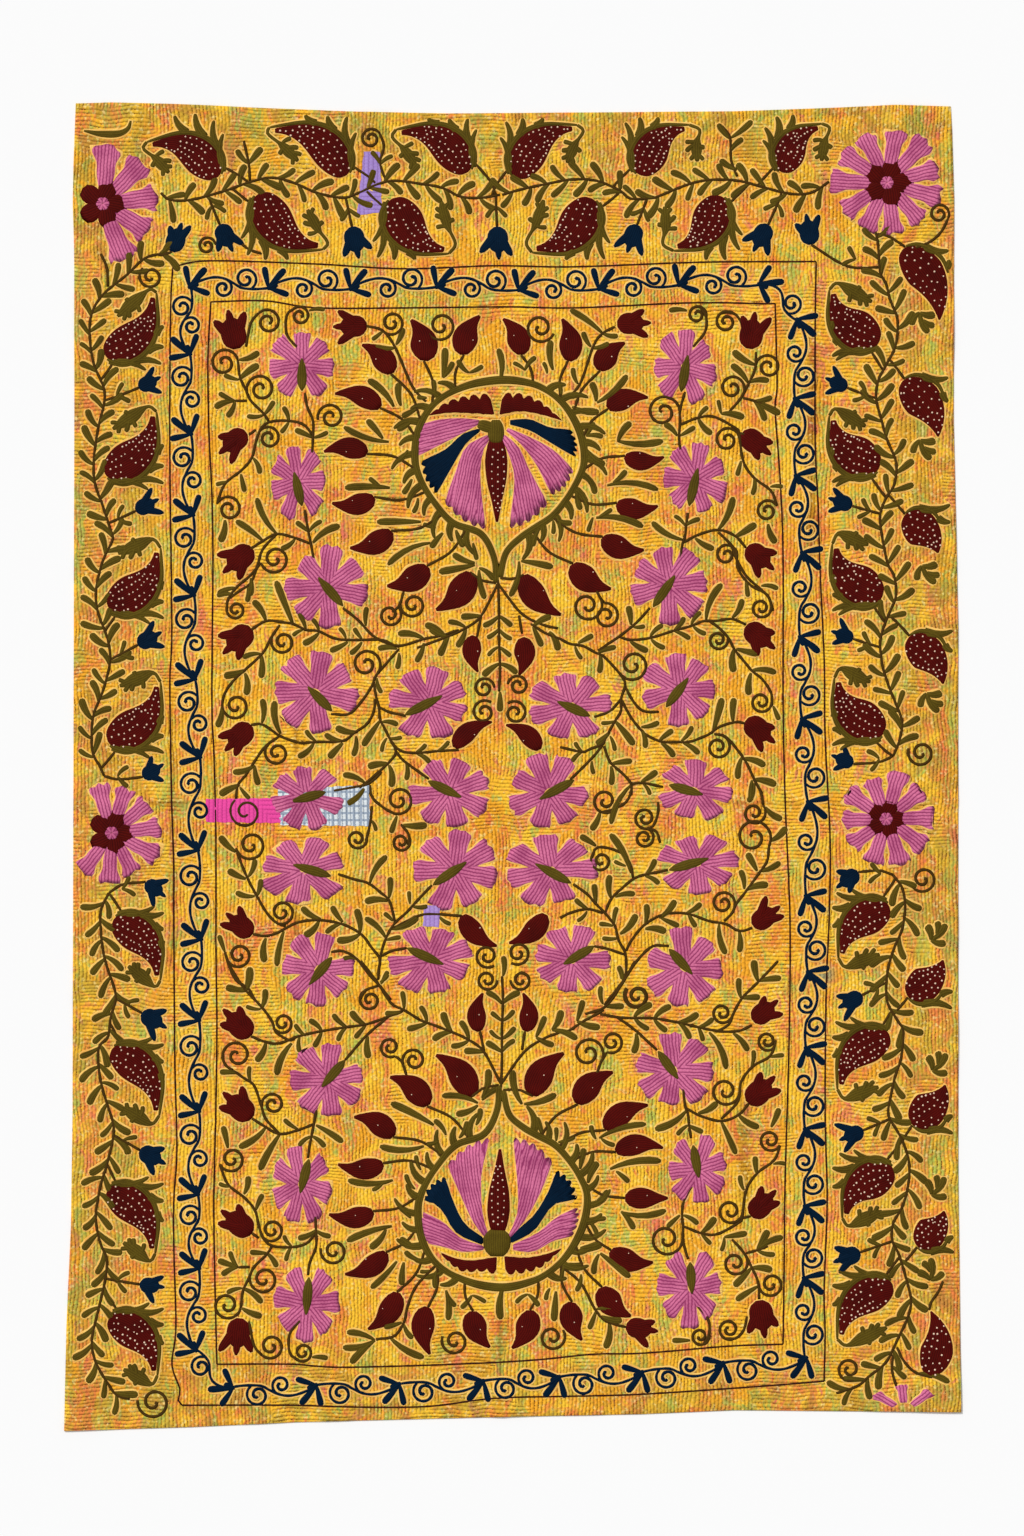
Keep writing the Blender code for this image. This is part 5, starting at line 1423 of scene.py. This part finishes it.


# Thread: its colour darkens between the rows of stitches as painted shade and varies slowly from place to place.
def threadMaterial(name, colour, dark, pitch, rowShade, vary):
    material, tree, shader = newMaterial(name, 0.72)
    uv = newNode(tree, "ShaderNodeUVMap", None, uv_map="threadUv").outputs[0]
    place = newNode(tree, "ShaderNodeTexCoord").outputs["Object"]
    group = newNode(tree, "ShaderNodeGroup", None, node_tree=stitchRows)
    tree.links.new(uv, group.inputs["Vector"])
    group.inputs["Row Pitch"].default_value = pitch
    group.inputs["Stitch Length"].default_value = pitch * 1.1
    between = maths(tree, "SUBTRACT", 1.0, group.outputs["Height"])
    grain = noiseAt(tree, place, 260.0, 2.0)
    # Painted shade between the rows of stitches.
    lines = maths(tree, "MULTIPLY", ramped(tree, between, 0.25, 0.95), rowShade)
    patchy = ramped(tree, noiseAt(tree, place, 26.0, 3.0), 0.35, 0.75)
    factor = maths(tree, "ADD", lines, maths(tree, "MULTIPLY", patchy, vary), clamp=True)
    base = mixed(tree, factor, colour, dark)
    base = mixed(tree, maths(tree, "MULTIPLY", ramped(tree, grain, 0.35, 0.70), 0.22), base, dark)
    tree.links.new(base, shader.inputs["Base Color"])
    addBump(tree, shader, group.outputs["Height"], 0.5, 0.0007)
    return material


clothLook = {
    "yellow": tint(255, 200, 56), "gold": tint(244, 168, 44), "orange": tint(236, 120, 70),
    "rose": tint(226, 112, 100), "green": tint(166, 188, 84), "olive": tint(156, 142, 58),
    # Next line: the first colour is painted shade for the dips of the running stitch, the second a painted highlight
    # on the stitches, the last painted shade along the creases; the teal is a stain.
    "dipShade": tint(98, 42, 14), "highlight": tint(255, 232, 150), "teal": tint(100, 150, 130), "paintedShade": tint(120, 64, 26),
    # The amount below is how strong the painted shade in the stitch dips is.
    "rowPitch": 0.0062, "stitch": 0.0085, "wander": 0.026, "dipShadeAmount": 0.96,
    # Blotches and long bands: colour, stretch, shift, scale, range of the noise and strength.
    "blotches": (("orange", (1.6, 0.6, 1.0), (3.1, 0.4, 0.0), 15.0, 0.50, 0.58, 0.85),
                 ("rose", (1.6, 0.7, 1.0), (7.7, 5.2, 0.0), 17.0, 0.56, 0.63, 0.75),
                 ("green", (1.4, 0.6, 1.0), (1.9, 8.8, 0.0), 16.0, 0.52, 0.60, 0.85),
                 ("orange", (0.5, 2.2, 1.0), (5.1, 3.4, 0.0), 14.0, 0.56, 0.62, 0.6)),
    "bands": (("orange", (2.4, 0.35, 1.0), (6.3, 1.1, 0.0), 12.0, 0.50, 0.57, 0.65),
              ("green", (2.4, 0.35, 1.0), (2.7, 9.4, 0.0), 12.0, 0.54, 0.61, 0.65)),
    # Painted shade along the creases: two ends and width in chart steps, strength.
    "creaseShades": ((811, 320, 811, 600, 9, 0.55), (744, 1085, 744, 1215, 12, 0.45), (296, 690, 296, 760, 4, 0.5),
              (296, 880, 296, 1010, 4, 0.5), (85, 803, 205, 803, 4, 0.5), (500, 1290, 500, 1418, 4, 0.35),
              (172, 690, 172, 1000, 6, 0.25), (590, 803, 960, 803, 4, 0.25)),
}


# Ground cotton: faded printed blotches drawn out lengthwise under the dark dips of the running stitch, whose darkness
# is painted shade.
def groundMaterial():
    material, tree, shader = newMaterial("groundCotton", 0.88)
    place = newNode(tree, "ShaderNodeTexCoord").outputs["Object"]
    warp = newNode(tree, "ShaderNodeTexNoise", {"Vector": place, "Scale": 22.0, "Detail": 2.0}).outputs[1]
    bend = {0: warp, 1: (0.035, 0.05, 0.0), 2: place}
    bent = newNode(tree, "ShaderNodeVectorMath", bend, operation="MULTIPLY_ADD").outputs[0]
    look = clothLook

    def patchy(stretch, shift, scale, low, high, detail=4.0, rough=0.68):
        moved = newNode(tree, "ShaderNodeMapping", {"Vector": bent, "Location": shift, "Scale": stretch}).outputs[0]
        return ramped(tree, noiseAt(tree, moved, scale, detail, rough), low, high)

    # Each blotch is broken up by a fine noise, as print is that shows between stitches.
    def blotch(stretch, shift, scale, low, high, amount):
        broken = maths(tree, "MULTIPLY_ADD", patchy(stretch, shift, 130.0, 0.38, 0.60, 2.0, 0.7), 0.75, 0.25)
        return product(tree, patchy(stretch, shift, scale, low, high), broken, amount)

    colour = mixed(tree, patchy((1.0, 0.6, 1.0), (0.3, 1.7, 0.0), 16.0, 0.40, 0.62), look["yellow"], look["gold"])
    for name, *values in look["blotches"]:
        colour = mixed(tree, blotch(*values), colour, look[name])
    # The border is duller and greener than the field.
    far = newNode(tree, "ShaderNodeSeparateXYZ", {0: place}).outputs
    sideways = ramped(tree, maths(tree, "ABSOLUTE", maths(tree, "ADD", far[0], -0.01)), 0.56, 0.70)
    upward = ramped(tree, maths(tree, "ABSOLUTE", far[1]), 0.92, 1.08)
    rim = maths(tree, "MAXIMUM", sideways, upward)
    dull = product(tree, rim, patchy((1.0, 1.0, 1.0), (4.4, 2.2, 0.0), 24.0, 0.42, 0.60), 0.55)
    colour = mixed(tree, dull, colour, look["olive"])
    # Down both side borders the print runs in long bands.
    for name, *values in look["bands"]:
        colour = mixed(tree, product(tree, blotch(*values), sideways), colour, look[name])
    # Painted shade along the creases, towards a brown: across a crease the shade falls off, along it it fades at both
    # ends.
    for x0, y0, x1, y1, width, amount in look["creaseShades"]:
        low, high = toMetres([(x0, y1), (x1, y0)])
        k = int(abs(x1 - x0) > abs(y1 - y0))
        middle, half = (low + high) / 2, (high - low) / 2
        across = maths(tree, "ABSOLUTE", maths(tree, "SUBTRACT", far[k], middle[k]))
        along = maths(tree, "ABSOLUTE", maths(tree, "SUBTRACT", far[1 - k], middle[1 - k]))
        near = maths(tree, "SUBTRACT", 1.0, ramped(tree, across, 0.0, width * chart["step"]))
        inside = maths(tree, "SUBTRACT", 1.0, ramped(tree, along, half[1 - k] * 0.6, half[1 - k]))
        colour = mixed(tree, product(tree, near, inside, amount), colour, look["paintedShade"])
    # Teal stain low on the right.
    stain = newNode(tree, "ShaderNodeVectorMath", {0: place, 1: (*toMetres((824, 974)), 0.002)}, operation="DISTANCE")
    near = maths(tree, "SUBTRACT", 1.0, ramped(tree, stain.outputs["Value"], 0.004, 0.028))
    colour = mixed(tree, product(tree, near, 0.7), colour, look["teal"])
    group = newNode(tree, "ShaderNodeGroup", None, node_tree=quiltRows)
    tree.links.new(place, group.inputs["Vector"])
    group.inputs["Row Pitch"].default_value = look["rowPitch"]
    group.inputs["Stitch Length"].default_value = look["stitch"]
    group.inputs["Wander"].default_value = look["wander"]
    grain = noiseAt(tree, place, 210.0, 3.0, 0.7)
    # How much of the painted shade in the stitch dips shows, patch by patch.
    paintedShade = ramped(tree, noiseAt(tree, place, 42.0, 2.0), 0.30, 0.62)
    shown = product(tree, ramped(tree, grain, 0.36, 0.58), paintedShade)
    # Painted shade in the stitch dips, shown in patches by the grain and a slow noise.
    dipShade = product(tree, group.outputs["Dip Shade"], shown, look["dipShadeAmount"])
    colour = mixed(tree, dipShade, colour, look["dipShade"])
    # Painted highlight: pale specks where the stitches catch light.
    highlightSpecks = maths(tree, "MULTIPLY", ramped(tree, noiseAt(tree, place, 150.0, 2.0), 0.56, 0.72), 0.5)
    colour = mixed(tree, highlightSpecks, colour, look["highlight"])
    tree.links.new(colour, shader.inputs["Base Color"])
    height = maths(tree, "MULTIPLY_ADD", grain, 0.35, group.outputs["Height"])
    addBump(tree, shader, height, 0.9, 0.0022)
    return material


# Patch cotton: plain or with stripes that run both ways, under the same running stitch, its dips darkened with
# painted shade.
def patchMaterial(name, colour, dark, stripe, amount):
    material, tree, shader = newMaterial(name, 0.85)
    place = newNode(tree, "ShaderNodeTexCoord").outputs["Object"]
    group = newNode(tree, "ShaderNodeGroup", None, node_tree=quiltRows)
    tree.links.new(place, group.inputs["Vector"])
    group.inputs["Row Pitch"].default_value = patchLook["rowPitch"]
    parts = newNode(tree, "ShaderNodeSeparateXYZ", {0: place}).outputs
    bands = [humps(tree, product(tree, part, 2 / patchLook["stripePitch"])) for part in parts[:2]]
    band = maths(tree, "MAXIMUM", *bands)
    base = mixed(tree, maths(tree, "MULTIPLY", ramped(tree, band, 0.80, 0.95), amount), colour, stripe)
    # Painted shade in the stitch dips.
    base = mixed(tree, maths(tree, "MULTIPLY", group.outputs["Dip Shade"], 0.7), base, dark)
    tree.links.new(base, shader.inputs["Base Color"])
    addBump(tree, shader, group.outputs["Height"], 0.6, 0.0010)
    return material


ground.data.materials.append(groundMaterial())
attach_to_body(ground, "root")
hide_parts("ground_cloth")
print("materials")

threads = {
    # Each thread's second colour is the painted shade between its rows of stitches and also the tone it varies
    # towards; the number after the pitch says how much painted shade falls between the rows.
    "maroon": ("embroideryMaroon", "maroon_thread", tint(88, 12, 6), tint(48, 5, 4), 0.0036, 0.65, 0.35),
    "pink": ("embroideryPink", "pink_thread", tint(220, 120, 158), tint(146, 54, 98), 0.0054, 1.0, 0.55),
    "olive": ("embroideryOlive", "olive_thread", tint(96, 80, 20), tint(58, 44, 10), 0.0038, 0.5, 0.35),
    "stem": ("embroideryStems", "olive_thread", tint(74, 52, 16), tint(50, 32, 8), 0.0040, 0.3, 0.3),
    "navy": ("embroideryNavy", "navy_thread", tint(2, 28, 50), tint(0, 12, 28), 0.0034, 0.45, 0.3),
    "brown": ("embroideryLines", "brown_thread", tint(62, 28, 18), tint(40, 18, 12), 0.0040, 0.4, 0.3),
    # The ridge round the motifs: its pale colours are a painted highlight, the second with the painted shade between
    # its rows.
    "edge": ("highlightHaloRidges", "ground_cotton", tint(250, 206, 112), tint(222, 156, 70), 0.0040, 0.4, 0.6),
    "cream": ("embroideryKnots", "white_thread", tint(240, 212, 184), tint(214, 160, 136), 0.0040, 0.1, 0.2),
}
for key, (name, slot, colour, dark, pitch, rowShade, vary) in threads.items():
    verts, corners, sizes, uvs, offset = [], [], [], [], 0
    for pieceVerts, pieceCorners, pieceSizes, pieceUvs in shapes[key]:
        verts.append(pieceVerts)
        corners.append(pieceCorners + offset)
        sizes.append(pieceSizes)
        uvs.append(pieceUvs)
        offset += len(pieceVerts)
    made = meshFrom(name, *(np.concatenate(part) for part in (verts, corners, sizes, uvs)))
    made.data.materials.append(threadMaterial(name, colour, dark, pitch, rowShade, vary))
    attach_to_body(made, "root")
    triangles = sum(int(n) - 2 for part in sizes for n in part)
    print(name, "triangles", triangles)

patchLook = {"gap": 0.00015, "thick": 0.0004, "step": 0.006, "rowPitch": 0.0075, "stripePitch": 0.024}
# The second colour of each patch is painted shade for its stitch dips.
patchRows = [
    ("patchPink", "patch_pink", "pink_cotton", (206, 799, 282, 798, 281, 823, 206, 822),
     (236, 78, 160), (176, 44, 120), (236, 78, 160), 0.0),
    ("patchWhite", "patch_white", "white_cotton", (278, 789, 369, 785, 370, 826, 280, 825),
     (222, 228, 230), (104, 118, 136), (126, 144, 168), 0.75),
    ("patchLilacTop", "patch_lilac_top", "lilac_cotton", (364, 152, 380, 152, 382, 213, 357, 215),
     (168, 140, 205), (130, 96, 160), (150, 120, 196), 0.3),
    ("patchLilacLow", "patch_lilac_low", "lilac_cotton", (424, 905, 440, 906, 439, 927, 423, 926),
     (176, 146, 208), (140, 100, 170), (150, 120, 196), 0.3),
]


# A patch: a grid between its four corners, a hair over the ground, closed below and round its edge.
def buildPatch(name, corners):
    a, b, c, d = toMetres(asPlaces(corners))
    size = np.hypot(*(b - a)), np.hypot(*(d - a))
    nu, nv = (max(int(s / patchLook["step"]), 4) for s in size)
    u, v = np.linspace(0, 1, nu)[:, None, None], np.linspace(0, 1, nv)[None, :, None]
    place = (a * (1 - u) + b * u) * (1 - v) + (d * (1 - u) + c * u) * v
    place = place + 0.0008 * np.sin(place[..., ::-1] * 310)
    low = topAt(place[..., 0], place[..., 1]) + patchLook["gap"]
    verts = np.concatenate([
        np.concatenate([place, (low + patchLook["thick"])[..., None]], -1).reshape(-1, 3),
        np.concatenate([place, low[..., None]], -1).reshape(-1, 3),
    ])
    index = np.arange(nu * nv).reshape(nu, nv)
    top = facesOf(index)
    ring = np.concatenate([index[:-1, 0], index[-1, :-1], index[:0:-1, -1], index[0, :0:-1]])
    after = np.roll(ring, -1)
    wall = np.stack([ring, after, after + nu * nv, ring + nu * nv], -1)
    quads = np.concatenate([top, top[:, ::-1] + nu * nv, wall])
    return meshFrom(name, verts, quads.ravel(), np.full(len(quads), 4), verts[:, :2], False), size


for name, node, slot, corners, colour, dark, stripe, amount in patchRows:
    made, size = buildPatch(name, corners)
    made.data.materials.append(patchMaterial(name, tint(*colour), tint(*dark), tint(*stripe), amount))
    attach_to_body(made, "root")
    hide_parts(node)
print("patches")

# Floor, light and camera: metres, degrees and millimetres.
stageLook = {
    "floor": (0.935, 0.935, 0.935, 1.0), "floorHalf": 6.0, "sun": 2.6, "sunAngle": 12.0, "sunTurn": (-34, -36, 0),
    "sky": 0.48, "lens": 85.0, "sensor": 36.0, "photoHeight": 1536, "photoMiddle": (512, 768), "farthest": 60,
}
side = stageLook["floorHalf"]
floorMesh = bpy.data.meshes.new("floor")
floorCorners = [(-side, -side, 0), (side, -side, 0), (side, side, 0), (-side, side, 0)]
floorMesh.from_pydata(floorCorners, [], [(0, 1, 2, 3)])
floor = bpy.data.objects.new("floor", floorMesh)
bpy.context.scene.collection.objects.link(floor)
floorMaterial, _, floorShader = newMaterial("floorPaper", 0.9)
floorShader.inputs["Base Color"].default_value = stageLook["floor"]
floorMesh.materials.append(floorMaterial)

world = bpy.data.worlds.new("sky")
world.use_nodes = True
world.node_tree.nodes["Background"].inputs["Color"].default_value = (1, 1, 1, 1)
world.node_tree.nodes["Background"].inputs["Strength"].default_value = stageLook["sky"]
bpy.context.scene.world = world
sunData = bpy.data.lights.new("sun", "SUN")
sunData.energy = stageLook["sun"]
sunData.angle = radians(stageLook["sunAngle"])
sun = bpy.data.objects.new("sun", sunData)
sun.rotation_euler = [radians(turn) for turn in stageLook["sunTurn"]]
bpy.context.scene.collection.objects.link(sun)

cameraData = bpy.data.cameras.new("camera")
cameraData.lens = stageLook["lens"]
cameraData.sensor_width = stageLook["sensor"]
cameraData.sensor_fit = "VERTICAL"
cameraData.sensor_height = stageLook["sensor"]
frameHeight = stageLook["photoHeight"] * chart["step"]
camera = bpy.data.objects.new("camera", cameraData)
middle = toMetres(stageLook["photoMiddle"])
camera.location = (middle[0], middle[1], frameHeight * stageLook["lens"] / stageLook["sensor"])
cameraData.clip_end = stageLook["farthest"]
bpy.context.scene.collection.objects.link(camera)
bpy.context.scene.camera = camera
bpy.context.scene.view_settings.view_transform = "Standard"

print("scene ready")
